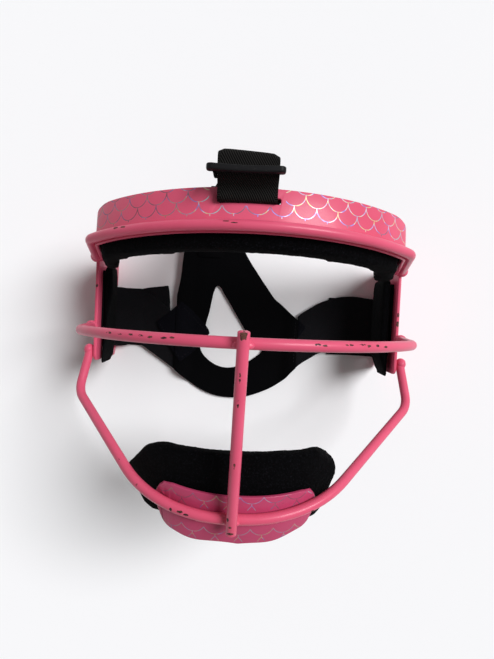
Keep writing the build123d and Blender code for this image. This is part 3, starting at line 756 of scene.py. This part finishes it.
for side in ("left", "right"):
    weldBead(side + "MidWeld", side + "_mid_bar_weld", (0.98, 0.92, 0.95))
    weldBead(side + "BrowWeld", side + "_brow_bar_weld", (0.98, 0.92, 0.95))
    weldBead(side + "JawWeld", side + "_jaw_bar_weld", (0.95, 0.95, 0.95))
weldBead("topCrossWeld", "centre_bar_top_weld", (1.0, 1.1, 1.1))
weldBead("bottomCrossWeld", "centre_bar_bottom_weld", (0.78, 0.95, 0.9))
chinFillet = copyOf("chinFillet", "chin_plate_weld")
smoothByAngle(chinFillet, 60.0)
finishPiece(chinFillet, "cage", plainCoat, ["chin_plate_weld"])
print("steel ready")


# soft materials
def wave(tree, value, period):
    # 0 in the grooves and 1 on the ridges of a thread pattern
    turns = calc(tree, "MULTIPLY", value, 2 * math.pi / period)
    return calc(tree, "MULTIPLY_ADD", calc(tree, "SINE", turns), 0.5, 0.5)


def lean(tree, across, along, slope):
    return calc(tree, "MULTIPLY_ADD", along, slope, across)


weaves = {
    "ribSlope": 0.8,
    "ribPeriod": 0.95,
    "crossSlope": -0.9,
    "crossPeriod": 0.62,
    "crossShare": 0.4,
    "twillSlope": 0.59,
    "twillPeriod": 1.05,
    "threadPeriod": 0.45,
    "threadShare": 0.2,
    "edge": (11.9, 12.3),
    "edgePeriod": 0.7,
    "height": 2.0,
    # painted highlight on the weave's ridges: how much lighter, and how much of it
    "ridgeHighlight": 1.6,
    "amount": 0.95,
}


def ribs(tree, across, along):
    # elastic: fine slanted ribs with finer threads across them
    rib = wave(tree, lean(tree, across, along, weaves["ribSlope"]), weaves["ribPeriod"])
    thread = wave(tree, lean(tree, across, along, weaves["crossSlope"]), weaves["crossPeriod"])
    rib = calc(tree, "MULTIPLY", rib, 1 - weaves["crossShare"])
    return calc(tree, "MULTIPLY_ADD", thread, weaves["crossShare"], rib)


def twill(tree, across, along):
    # webbing: steep slanted ribs, plain towards its two edges
    rib = wave(tree, lean(tree, across, along, weaves["twillSlope"]), weaves["twillPeriod"])
    rib = calc(tree, "MULTIPLY", rib, 1 - weaves["threadShare"])
    woven = calc(tree, "MULTIPLY_ADD", wave(tree, along, weaves["threadPeriod"]), weaves["threadShare"], rib)
    edge = steps(tree, calc(tree, "ABSOLUTE", across), *weaves["edge"])
    plain = calc(tree, "SUBTRACT", wave(tree, along, weaves["edgePeriod"]), woven)
    return calc(tree, "MULTIPLY_ADD", edge, plain, woven)


fabricLook = {
    "fleckEdge": (0.5, 0.78),
    "wovenFleck": 0.3,
    "broadScale": 60.0,
    "broadShade": 0.5,
    "bump": 0.8,
    "sheenRoughness": 0.5,
    "specular": 0.035,
}


def fabric(name, dark, light, fleckScale, bumpScale, depth, sheen, roughness=0.95, weave=None):
    material, tree, shader, where = startMaterial(name)
    fleck = steps(tree, noise(tree, where, fleckScale, 3.0, 0.7), *fabricLook["fleckEdge"])
    if weave:
        fleck = calc(tree, "MULTIPLY", fleck, fabricLook["wovenFleck"])
    colour = mixColour(tree, fleck, (*dark, 1.0), (*light, 1.0))
    height = noise(tree, where, bumpScale, 3.0, 0.65)
    if weave:
        flat = addNode(tree, "ShaderNodeUVMap", uv_map="weave").outputs[0]
        split = addNode(tree, "ShaderNodeSeparateXYZ", {0: flat})
        ridges = weave(tree, split.outputs[0], split.outputs[1])
        height = calc(tree, "MULTIPLY_ADD", ridges, weaves["height"], height)
        # the ridges get a lighter colour: a painted highlight on the raised threads, with the grooves left
        # darker as painted shade
        ridgeHighlightColour = [part * weaves["ridgeHighlight"] for part in light]
        colour = mixColour(tree, calc(tree, "MULTIPLY", ridges, weaves["amount"]), colour, (*ridgeHighlightColour, 1.0))
    broad = noise(tree, where, fabricLook["broadScale"], 2.0)
    broad = calc(tree, "MULTIPLY", broad, fabricLook["broadShade"])
    colour = mixColour(tree, broad, colour, (*[part / 2 for part in dark], 1.0))
    link(tree, colour, shader, "Base Color")
    relief(tree, shader, fabricLook["bump"], depth * millimetre, height)
    shader.inputs["Roughness"].default_value = roughness
    shader.inputs["Sheen Weight"].default_value = sheen
    shader.inputs["Sheen Roughness"].default_value = fabricLook["sheenRoughness"]
    shader.inputs["Specular IOR Level"].default_value = fabricLook["specular"]
    return material


softLooks = {
    "loop": fabric("loopFabric", dark=(0.0007, 0.0007, 0.0009), light=(0.013, 0.013, 0.017),
                   fleckScale=1500.0, bumpScale=1400.0, depth=0.4, sheen=0.004),
    "hook": fabric("hookTape", dark=(0.002, 0.002, 0.0025), light=(0.025, 0.025, 0.028), fleckScale=2200.0,
                   bumpScale=2000.0, depth=0.3, sheen=0.0, roughness=0.6),
    "webbing": fabric("twillWebbing", dark=(0.0008, 0.0008, 0.0008), light=(0.019, 0.018, 0.017),
                      fleckScale=1500.0, bumpScale=1800.0, depth=0.3, sheen=0.006, roughness=0.8,
                      weave=twill),
    "elastic": fabric("ribbedElastic", dark=(0.0008, 0.0008, 0.0011), light=(0.015, 0.0146, 0.017),
                      fleckScale=1500.0, bumpScale=2000.0, depth=0.3, sheen=0.006, roughness=0.9, weave=ribs),
    "bonded": fabric("bondedFabric", dark=(0.0008, 0.0008, 0.0011), light=(0.003, 0.003, 0.0045),
                     fleckScale=1300.0, bumpScale=1900.0, depth=0.12, sheen=0.006, roughness=0.85),
    "tab": fabric("tabFabric", dark=(0.0022, 0.0022, 0.0036), light=(0.0065, 0.0064, 0.0105),
                  fleckScale=1300.0, bumpScale=1900.0, depth=0.12, sheen=0.01, roughness=0.85),
    "thread": fabric("blackThread", dark=(0.012, 0.012, 0.014), light=(0.06, 0.06, 0.07), fleckScale=2500.0,
                     bumpScale=3000.0, depth=0.05, sheen=0.0, roughness=0.5),
}

# pads
pads = {
    "voxel": 1.9,
    "quality": 4,
    "mass": 0.15,
    "stiffness": 18.0,
    "bending": 0.6,
    "pressure": 4.0,
    "startInset": 0.7,
    "cap": 0.9,
    "frames": 20,
    "smoothing": 9,
    "endAngles": (36.0, 42.0, 48.0, 53.0, 57.0, 60.0, 63.0, 66.6),
    "leftTops": (28.6, 26.0, 22.3, 18.4, 15.0, 12.0, 8.6, 2.8),
    "rightTops": (27.8, 26.8, 24.3, 21.2, 18.2, 15.6, 12.3, 4.0),
    "endBottoms": (-14.0, -14.4, -12.4, -10.0, -7.6, -5.4, -3.4, -1.2),
    "topLift": 1.6,
    "blendFrom": 22.0,
    "nap": 0.45,
    "napScale": 0.0013,
    "binWidth": 1.5,
}
leftTaper = {
    "by": 3.9,
    "low": (35.0, -24.0),
    "under": (41.0, -26.0),
    "thickness": (-86.0, 6.4),
}
browTaper = {
    "by": 3.2,
    "low": (86.0, -16.0),
    "thickness": (-80.0, 8.0),
    "inner": -45.0,
}


def swell(piece):
    # cloth under pressure, which crowns the faces; no point moves further than the cap
    rest = points(piece)
    selectOnly(piece)
    cloth = piece.modifiers.new("swell", "CLOTH")
    cloth.settings.quality = pads["quality"]
    cloth.settings.mass = pads["mass"]
    cloth.settings.use_pressure = True
    cloth.settings.uniform_pressure_force = pads["pressure"]
    cloth.settings.tension_stiffness = pads["stiffness"]
    cloth.settings.compression_stiffness = pads["stiffness"]
    cloth.settings.bending_stiffness = pads["bending"]
    cloth.settings.effector_weights.gravity = 0.0
    cloth.collision_settings.use_collision = False
    cloth.point_cache.frame_start = 1
    cloth.point_cache.frame_end = pads["frames"]
    scene = bpy.context.scene
    for frameNumber in range(1, pads["frames"] + 1):
        scene.frame_set(frameNumber)
    bpy.ops.object.modifier_apply(modifier=cloth.name)
    scene.frame_set(1)
    moved = points(piece) - rest
    length = np.linalg.norm(moved, axis=1, keepdims=True)
    limit = pads["cap"] * millimetre
    setPoints(piece, rest + moved * np.minimum(1.0, limit / np.maximum(length, 1e-9)))


def roundEnds(piece, shape, side, tops):
    # the pad's end follows a rounded outline, given as its two edges at angles round the plate
    outward, upward, spots = frameOf(piece, shape)
    rise = spots @ upward
    angle = np.degrees(side * np.arctan2(spots[:, 0], spots @ outward + shape["radius"]))
    angles = pads["endAngles"]
    bins = np.arange(-1.0, float(angle.max()) + 1.0, pads["binWidth"])
    highs, lows, middles = [], [], []
    for low, high in zip(bins, bins[1:]):
        inside = rise[(angle >= low) & (angle < high)]
        if len(inside):
            middles.append((low + high) / 2)
            highs.append(inside.max())
            lows.append(inside.min())
    top, bottom = np.interp(angle, middles, highs), np.interp(angle, middles, lows)
    blend = eased(fade(angle, pads["blendFrom"], angles[0] - pads["blendFrom"]))
    newTop = (1 - blend) * (top + pads["topLift"]) + blend * np.interp(angle, angles, pads[tops])
    newBottom = bottom + blend * np.maximum(np.interp(angle, angles, pads["endBottoms"]) - bottom, 0.0)
    share = (rise - bottom) / np.maximum(top - bottom, 1.0)
    moved = np.where(angle > 0.0, newBottom + share * (newTop - newBottom) - rise, 0.0)
    setPoints(piece, (spots + np.array(shape["origin"]) + moved[:, None] * upward) * millimetre)


def softPad(name, sources, shape=None):
    piece = copyOf(name, *sources)
    applyModifier(piece, "REMESH", mode="VOXEL", voxel_size=pads["voxel"] * millimetre)
    if shape:
        shape(piece)
    applyModifier(piece, "SMOOTH", factor=0.5, iterations=pads["smoothing"])
    applyModifier(piece, "DISPLACE", strength=-pads["startInset"] * millimetre, mid_level=0.0)
    swell(piece)
    applyModifier(piece, "SUBSURF", levels=1, render_levels=1)
    nap = bpy.data.textures.new(name + "Nap", "CLOUDS")
    nap.noise_scale = pads["napScale"]
    applyModifier(
        piece, "DISPLACE", texture=nap, strength=pads["nap"] * millimetre, mid_level=0.5,
        texture_coords="LOCAL",
    )
    selectOnly(piece)
    bpy.ops.object.shade_smooth()
    finishPiece(piece, "cage", softLooks["loop"], sources)


def roundChin(piece):
    roundEnds(piece, chinShape, -1, "leftTops")
    roundEnds(piece, chinShape, 1, "rightTops")


def taperLeft(piece):
    # the left pad is thin where the strap passes it
    co = points(piece) / millimetre
    low = eased(fade(co[:, 1], *leftTaper["low"]))
    under = fade(co[:, 2], *leftTaper["under"])
    co[:, 0] -= fade(co[:, 0], *leftTaper["thickness"]) * np.maximum(low, under) * leftTaper["by"]
    setPoints(piece, co * millimetre)


def taperBrow(piece):
    # the brow pad's left end turns down thinner than its right end
    co = points(piece) / millimetre
    inner = fade(co[:, 0], *browTaper["thickness"]) * (co[:, 0] < browTaper["inner"])
    co[:, 0] -= browTaper["by"] * fade(co[:, 2], *browTaper["low"]) * inner
    setPoints(piece, co * millimetre)


softPad("chinPad", ["chin_pad_foam", "chin_pad_facing"], roundChin)
softPad("browPad", ["brow_pad_foam", "brow_pad_facing"], taperBrow)
softPad("leftSidePad", ["left_pad_foam", "left_pad_facing"], taperLeft)
softPad("rightSidePad", ["right_pad_foam", "right_pad_facing"])
for place in ("chin", "brow", "left", "right"):
    trimmedCopy(place + "Tape", place + "_hook_tape", "cage", softLooks["hook"], 0.3)
print("pads ready")

# straps and harness
sheets = {
    "elastic": 1.6,
    "webbing": 1.5,
    "webbingWidth": 26.6,
    "panel": 1.9,
    "overlay": 0.7,
    "wave": 0.22,
    "waveLength": 31.0,
    "waveShift": 0.6,
    "waveAcross": 1.3,
    "waveSlant": 0.4,
    "leftSeam": 35.9,
    "rightSeam": 23.1,
    "seamWidth": 8.0,
    "seamLift": 4.0,
    "clear": 0.05,
    "panelLevel": 1.1,
    "overlayLevel": 2.4,
    "gaps": (2.5, 2.5),
    "strapGaps": (2.5, 1.0),
}


def cutSheet(name, loops, thickness, rim, gaps=sheets["gaps"]):
    # a flat piece cut to its outline, with soft rims and even cuts to bend at
    shape = bpy.data.curves.new(name, "CURVE")
    shape.dimensions = "2D"
    shape.fill_mode = "BOTH"
    shape.extrude = thickness / 2 * millimetre
    shape.resolution_u = 5
    for loop in loops:
        spline = shape.splines.new("BEZIER")
        spline.bezier_points.add(len(loop) - 1)
        for knot, spot in zip(spline.bezier_points, loop):
            knot.co = (spot[0] * millimetre, spot[1] * millimetre, 0.0)
            kind = "VECTOR" if len(spot) > 2 else "AUTO"
            knot.handle_left_type = kind
            knot.handle_right_type = kind
        spline.use_cyclic_u = True
    piece = bpy.data.objects.new(name, shape)
    bpy.context.scene.collection.objects.link(piece)
    selectOnly(piece)
    bpy.ops.object.convert(target="MESH")
    piece = bpy.context.view_layer.objects.active
    piece.name = name
    piece.data.name = name
    editAll(piece)
    bpy.ops.mesh.remove_doubles(threshold=0.01 * millimetre)
    bpy.ops.mesh.normals_make_consistent(inside=False)
    bpy.ops.mesh.dissolve_limited(angle_limit=radians(0.5))
    toObject()
    roundEdges(piece, rim, 2, 50.0)
    for axis in (0, 1):
        cutEvenly(piece, axis, gaps[axis])
    return piece


def weaveMap(piece):
    # the weave follows the flat piece, before it is bent
    co = points(piece) / millimetre
    layer = piece.data.uv_layers.new(name="weave")
    for loop in piece.data.loops:
        layer.data[loop.index].uv = co[loop.vertex_index][:2]


def roundedRoute(corners, radii):
    corners = [np.array(corner, float) for corner in corners]
    route = [corners[0]]
    for before, here, after, radius in zip(corners, corners[1:], corners[2:], radii):
        ahead, behind = here - before, after - here
        lengths = np.linalg.norm(ahead), np.linalg.norm(behind)
        ahead, behind = ahead / lengths[0], behind / lengths[1]
        turn = math.acos(max(-1.0, min(1.0, float(ahead @ behind))))
        cut = min(radius * math.tan(turn / 2), 0.49 * lengths[0], 0.49 * lengths[1])
        for step in range(9):
            share = step / 8
            route.append((1 - share) ** 2 * (here - ahead * cut) + 2 * share * (1 - share) * here
                         + share ** 2 * (here + behind * cut))
    route.append(corners[-1])
    route = np.array(route)
    length = np.concatenate([[0.0], np.cumsum(np.linalg.norm(np.diff(route, axis=0), axis=1))])
    return route, length


def bend(piece, corners, radii, place):
    # lays the flat piece along a route seen on its edge: its y becomes the way along the route
    route, length = roundedRoute(corners, radii)
    co = points(piece) / millimetre
    along = np.clip(co[:, 1], 0.0, length[-1])
    spots = [np.interp(along, length, route[:, axis]) for axis in (0, 1)]
    ahead = [np.interp(np.minimum(along + 0.3, length[-1]), length, route[:, axis]) for axis in (0, 1)]
    behind = [np.interp(np.maximum(along - 0.3, 0.0), length, route[:, axis]) for axis in (0, 1)]
    slope = np.array([ahead[axis] - behind[axis] for axis in (0, 1)])
    slope /= np.maximum(np.linalg.norm(slope, axis=0), 1e-9)
    level = spots[0] + slope[1] * co[:, 2]
    height = spots[1] - slope[0] * co[:, 2]
    setPoints(piece, np.stack(place(co[:, 0], level, height, along), axis=1) * millimetre)
    editAll(piece)
    bpy.ops.mesh.normals_make_consistent(inside=False)
    toObject()


def ripples(x, y):
    turn = 2 * math.pi / sheets["waveLength"]
    along = np.sin(x * turn + sheets["waveShift"])
    return sheets["wave"] * along * np.sin(y * turn * sheets["waveAcross"] + x * turn * sheets["waveSlant"])


def armLift(x):
    # the harness lies on the table and rises to the two seams
    left = fade(-x, sheets["leftSeam"], sheets["seamWidth"])
    right = fade(x, sheets["rightSeam"], sheets["seamWidth"])
    return sheets["seamLift"] * eased(np.maximum(left, right))


def lay(piece, base):
    co = points(piece) / millimetre
    co[:, 2] += base + armLift(co[:, 0]) + ripples(co[:, 0], co[:, 1]) + sheets["wave"]
    setPoints(piece, co * millimetre)


def finishSheet(piece, body, look, node=None):
    smoothByAngle(piece, 50.0)
    finishPiece(piece, body, softLooks[look], [node] if node else [])


harnessOutline = [
    (-41.8, 70.7, 1), (-42.4, 64.0), (-43.3, 56.6), (-44.0, 49.7), (-45.0, 37.7), (-46.2, 31.0),
    (-46.8, 27.5, 1), (-46.8, -21.9, 1), (-42.8, -25.3), (-36.1, -30.5), (-29.2, -34.6), (-22.3, -37.5),
    (-15.5, -39.1), (-8.7, -39.5), (-1.9, -39.0), (4.7, -37.5), (12.7, -34.4), (18.0, -31.8), (23.2, -28.5),
    (27.7, -24.6), (30.7, -20.9), (34.1, -17.4, 1), (34.1, 14.7, 1), (31.8, 16.6), (28.7, 19.2),
    (25.3, 22.5), (21.9, 25.4), (18.9, 27.7), (16.3, 30.7), (13.1, 35.0), (9.0, 40.5), (5.2, 45.9),
    (0.8, 52.1), (-3.6, 59.5), (-9.4, 70.7, 1),
]
harnessOpening = [
    (-20.3, 35.3), (-22.2, 32.6), (-23.9, 25.5), (-25.0, 18.8), (-26.6, 12.0), (-28.4, 3.8), (-30.0, -1.6),
    (-30.5, -5.7), (-29.8, -8.6), (-28.2, -11.2), (-25.4, -14.1), (-21.9, -16.6), (-17.8, -18.5),
    (-13.0, -19.4), (-9.6, -19.3), (-5.6, -18.4), (-1.0, -16.5), (3.6, -13.9), (8.1, -10.6), (10.9, -7.8),
    (11.2, -5.1), (8.2, -1.8), (4.4, 0.9), (1.2, 4.0), (-1.7, 8.0), (-4.5, 12.4), (-7.6, 17.2),
    (-11.7, 23.8), (-16.0, 30.3), (-18.6, 34.3),
]
overlayOutline = [
    (-46.8, 20.6, 1), (-43.6, 23.6, 1), (-38.2, 19.4), (-33.6, 15.0), (-29.1, 10.4), (-25.2, 5.6),
    (-24.4, 3.1, 1), (-33.6, -8.5), (-43.0, -16.3, 1), (-46.8, -11.6, 1),
]
rearHarness = cutSheet("rearHarness", [harnessOutline, harnessOpening], sheets["panel"], 0.5)
lay(rearHarness, sheets["panelLevel"])
finishSheet(rearHarness, "harness", "bonded", "harness_panel")
overlay = cutSheet("tabOverlay", [overlayOutline], sheets["overlay"], 0.25)
lay(overlay, sheets["overlayLevel"])
finishSheet(overlay, "harness", "tab")
trimmedCopy("apexPatch", "harness_apex_patch", "harness", softLooks["bonded"], 0.25,
            angle=50.0)

strapRoute = {
    "origin": 88.3,
    "left": (41.4, 3.2),
    "right": (54.1, 3.2),
    "wrap": [(20.0, 3.2), (0.0, 8.2), (-3.5, 8.2), (-3.5, 1.2), (0.0, 1.2), (7.0, 0.8), (17.0, 0.8)],
    "radii": (8.0, 1.5, 3.0, 3.0, 1.5, 3.5),
    "sway": 0.35,
    "swayTurns": (0.12, 0.16),
    "swayFrom": (0.0, 12.0),
    "swayTo": (36.0, -14.0),
}
strapOutlines = {
    "left": [
        (13.6, 0.0, 1), (17.3, 4.2), (20.2, 7.8), (23.9, 12.4), (27.2, 18.0), (29.3, 24.7), (30.3, 31.4),
        (31.0, 37.5), (30.9, 42.0), (30.9, 74.5, 1), (-7.1, 74.5, 1), (-7.1, 42.0), (-7.6, 38.0),
        (-7.2, 33.2), (-5.9, 28.5), (-6.4, 23.5), (-10.5, 16.6), (-15.2, 9.7), (-19.9, 2.9),
        (-21.8, 0.0, 1),
    ],
    "right": [
        (17.4, 0.0, 1), (19.4, 2.5), (22.9, 7.6), (26.9, 13.9), (29.6, 20.4), (31.5, 27.0), (32.2, 33.6),
        (32.1, 39.0), (31.4, 44.5), (30.9, 50.0), (30.9, 87.2, 1), (-7.1, 87.2, 1), (-7.1, 50.0),
        (-6.0, 44.0), (-5.2, 35.0), (-5.2, 25.0), (-6.2, 16.2), (-10.4, 9.1), (-14.8, 2.7), (-17.3, 0.0, 1),
    ],
}
tabOutlines = {
    "left": [
        (-46.9, 20.5, 1), (-51.0, 16.5), (-57.2, 11.7), (-59.6, 9.4, 1), (-57.9, 5.6), (-54.6, 0.2),
        (-51.1, -5.8), (-46.9, -11.7, 1),
    ],
    "right": [
        (34.2, 14.6, 1), (35.6, 13.6), (38.3, 11.4), (39.3, 9.6, 1), (37.0, 6.2), (34.2, 2.2, 1),
    ],
}
for side, sign in (("left", -1), ("right", 1)):
    body = side + "_strap"
    strap = cutSheet(side + "Strap", [strapOutlines[side]], sheets["elastic"], 0.3, sheets["strapGaps"])
    weaveMap(strap)
    corners = [strapRoute[side], *strapRoute["wrap"]]

    def placeSide(across, inward, height, along):
        turn = across * strapRoute["swayTurns"][0] + along * strapRoute["swayTurns"][1]
        sway = strapRoute["sway"] * np.sin(turn) * fade(along, *strapRoute["swayFrom"])
        sway *= fade(along, *strapRoute["swayTo"])
        return sign * (strapRoute["origin"] - inward), across, height + sway

    bend(strap, corners, strapRoute["radii"], placeSide)
    finishSheet(strap, body, "elastic", side + "_side_strap")
    tab = cutSheet(side + "Tab", [tabOutlines[side]], sheets["panel"], 0.4)
    lay(tab, sheets["panelLevel"])
    finishSheet(tab, body, "tab", side + "_harness_tab")
tailOutline = [
    (-71.3, 30.7, 1), (-65.8, 31.9), (-59.1, 32.9), (-53.6, 33.8, 1), (-52.9, 30.9), (-52.1, 24.2),
    (-51.3, 10.0), (-51.4, -4.0, 1), (-71.3, -7.1, 1),
]
leftTail = cutSheet("leftTail", [tailOutline], sheets["elastic"], 0.3)
weaveMap(leftTail)
lay(leftTail, 0.0)
tailPoints = points(leftTail)
tailPoints[:, 2] -= tailPoints[:, 2].min() - sheets["clear"] * millimetre
setPoints(leftTail, tailPoints)
finishSheet(leftTail, "left_strap", "elastic", "left_strap_tail")
rightTail = copyOf("rightTail", "right_strap_tail")
weaveMap(rightTail)
roundEdges(rightTail, 0.3)
finishSheet(rightTail, "right_strap", "elastic", "right_strap_tail")
for side in ("left", "right"):
    trimmedCopy(side + "HookPatch", side + "_hook_patch", side + "_strap", softLooks["hook"],
                0.2, angle=50.0)

crownShape = {
    "route": [
        (74.6, 108.54), (67.5, 108.54), (67.5, 116.74), (73.1, 116.74), (77.4, 122.94), (86.3, 123.0),
        (86.3, 114.34), (75.5, 114.34), (75.5, 96.04), (80.88, 60.0), (83.38, 16.0), (83.38, 1.1),
        (71.48, 1.1),
    ],
    "radii": (2.0, 2.0, 5.0, 5.0, 2.1, 2.1, 5.0, 40.0, 40.0, 40.0, 6.0),
    "shift": 2.79,
    "drift": 23.2,
    "driftFrom": 112.04,
    "bow": 0.5,
    "bowHalf": 13.3,
    "bowRise": (119.0, 4.0),
    "fold": (79.0, 7.0),
    "rim": (8.8, 4.5),
    "rimDrop": 1.5,
    "tilt": 0.055,
    "spread": 0.2,
    "spreadEnd": (9.0, -3.0),
}
half = sheets["webbingWidth"] / 2
crownLength = roundedRoute(crownShape["route"], crownShape["radii"])[1][-1]
crownOutline = [(-half, 0.0, 1), (half, 0.0, 1), (half, crownLength, 1), (-half, crownLength, 1)]
crown = cutSheet("crownStrap", [crownOutline], sheets["webbing"], 0.3, sheets["strapGaps"])
weaveMap(crown)


def placeCrown(across, level, height, along):
    # it drifts aside on its way down; the upper fold is bowed and tilted, with soft corners
    drift = crownShape["drift"] * fade(height, crownShape["driftFrom"], -crownShape["driftFrom"])
    bow = crownShape["bow"] * (1 - (across / crownShape["bowHalf"]) ** 2)
    bow = bow * fade(height, *crownShape["bowRise"])
    rim = fade(np.abs(across), *crownShape["rim"])
    drop = crownShape["rimDrop"] * rim ** 3 + crownShape["tilt"] * across
    level = level - fade(level, *crownShape["fold"]) * drop
    spread = 1.0 + crownShape["spread"] * fade(along, *crownShape["spreadEnd"])
    return across * spread - crownShape["shift"] - drift, level, height + bow


bend(crown, crownShape["route"], crownShape["radii"], placeCrown)
finishSheet(crown, "crown_strap", "webbing", "top_strap")
print("straps ready")

# stitching
stitches = {
    "length": 1.3,
    "width": 0.28,
    "pitch": 2.1,
    "lines": [
        ("leftTabStitches", [(-57.4, 8.4), (-50.2, -3.9), (-47.4, -8.0)], 2.1, "left_strap"),
        ("leftTabStitchesLow", [(-46.2, -9.8), (-43.2, -13.6)], 2.8, "harness"),
        ("overlayStitches", [(-45.8, 18.9), (-43.6, 21.2), (-27.0, 4.6)], 2.8, "harness"),
        ("overlayStitchesLow", [(-27.0, 1.8), (-34.2, -6.9), (-42.6, -14.0)], 2.8, "harness"),
        ("rightTabStitches", [(35.0, 12.4), (37.5, 9.6), (35.0, 5.6)], 2.1, "right_strap"),
        ("rightSeamStitches", [(32.4, 13.6), (32.4, -15.4)], 2.1, "harness"),
    ],
}


def stitchLine(name, line, base, body):
    # short threads along a line on the harness, each a small capsule
    line = [np.array(spot, float) for spot in line]
    sizes = (stitches["length"], stitches["width"], stitches["width"])
    made = []
    for start, end in zip(line, line[1:]):
        run = end - start
        length = float(np.linalg.norm(run))
        for index in range(int(length / stitches["pitch"])):
            middle = start + run * (index + 0.5) * stitches["pitch"] / length
            level = base + float(armLift(middle[0])) + float(ripples(middle[0], middle[1])) + sheets["wave"]
            bpy.ops.object.select_all(action="DESELECT")
            bpy.ops.mesh.primitive_uv_sphere_add(
                segments=8, ring_count=5, radius=1.0,
                location=(middle[0] * millimetre, middle[1] * millimetre, level * millimetre),
                rotation=(0.0, 0.0, math.atan2(run[1], run[0])),
                scale=[size / 2 * millimetre for size in sizes],
            )
            bpy.ops.object.transform_apply(location=True, rotation=True, scale=True)
            made.append(bpy.context.active_object)
    selectOnly(made[0])
    for piece in made[1:]:
        piece.select_set(True)
    if len(made) > 1:
        bpy.ops.object.join()
    piece = bpy.context.active_object
    piece.name = name
    piece.data.name = name
    smoothByAngle(piece, 80.0)
    finishPiece(piece, body, softLooks["thread"])


for name, line, base, body in stitches["lines"]:
    stitchLine(name, line, base, body)
print("stitching ready")

# slider
plastic = {
    "colour": (0.0035, 0.0035, 0.0042, 1.0),
    "scuffed": (0.03, 0.028, 0.026, 1.0),
    "roughness": 0.36,
    "specular": 0.09,
    "roughScale": 300.0,
    "roughSpread": 0.15,
    "scratchScale": 1500.0,
    "scratchShape": (0.25, 1.0, 1.0),
    "scratchEdge": (0.62, 0.74),
    "scratchAmount": 0.6,
    "grainScale": 1800.0,
    "grainDepth": 0.0001,
}
sliderShape = {
    "cuts": (114.0, 120.5, 121.6, 122.7, 123.8, 124.9, 126.0),
    "centre": -3.79,
    "half": 16.7,
    "window": 13.1,
    "upper": (120.5, 4.5),
    "slim": 0.8,
    "lean": 1.4,
    "bow": 1.5,
    "legs": 0.4,
    "edge": 0.7,
}


def mouldedPlastic():
    material, tree, shader, where = startMaterial("sliderPlastic")
    stretched = addNode(tree, "ShaderNodeMapping", {0: where, 3: plastic["scratchShape"]}).outputs[0]
    scratch = noise(tree, stretched, plastic["scratchScale"], 3.0, 0.7)
    scratch = calc(tree, "MULTIPLY", steps(tree, scratch, *plastic["scratchEdge"]), plastic["scratchAmount"])
    link(tree, mixColour(tree, scratch, plastic["colour"], plastic["scuffed"]), shader, "Base Color")
    uneven = noise(tree, where, plastic["roughScale"])
    rough = calc(tree, "MULTIPLY_ADD", uneven, plastic["roughSpread"], plastic["roughness"])
    link(tree, rough, shader, "Roughness")
    relief(tree, shader, 0.25, plastic["grainDepth"], noise(tree, where, plastic["grainScale"], 2.0))
    shader.inputs["Specular IOR Level"].default_value = plastic["specular"]
    return material


slider = copyOf("strapSlider", "strap_slider")
cutAt(slider, 2, [level * millimetre for level in sliderShape["cuts"]])
sliderPoints = points(slider) / millimetre
upper = eased(fade(sliderPoints[:, 2], *sliderShape["upper"]))  # 1 in the upper bar, 0 below it
aside = sliderPoints[:, 0] - sliderShape["centre"]
outer = np.minimum(1.0, (aside / sliderShape["half"]) ** 2)
middle = (sliderPoints[:, 1].max() + sliderPoints[:, 1].min()) / 2
sliderPoints[:, 1] = middle + (sliderPoints[:, 1] - middle) * (1 - upper * (1 - sliderShape["slim"]))
sliderPoints[:, 1] -= upper * (sliderShape["lean"] + sliderShape["bow"] * (1 - outer))
window, legs = sliderShape["window"], sliderShape["legs"]
leg = window + (np.abs(aside) - window) * (legs + (1 - legs) * upper)
sliderPoints[:, 0] = sliderShape["centre"] + np.where(np.abs(aside) > window, np.sign(aside) * leg, aside)
setPoints(slider, sliderPoints * millimetre)
roundEdges(slider, sliderShape["edge"], 4)
smoothByAngle(slider, 40.0)
finishPiece(slider, "slider", mouldedPlastic(), ["strap_slider"])
print("slider ready")
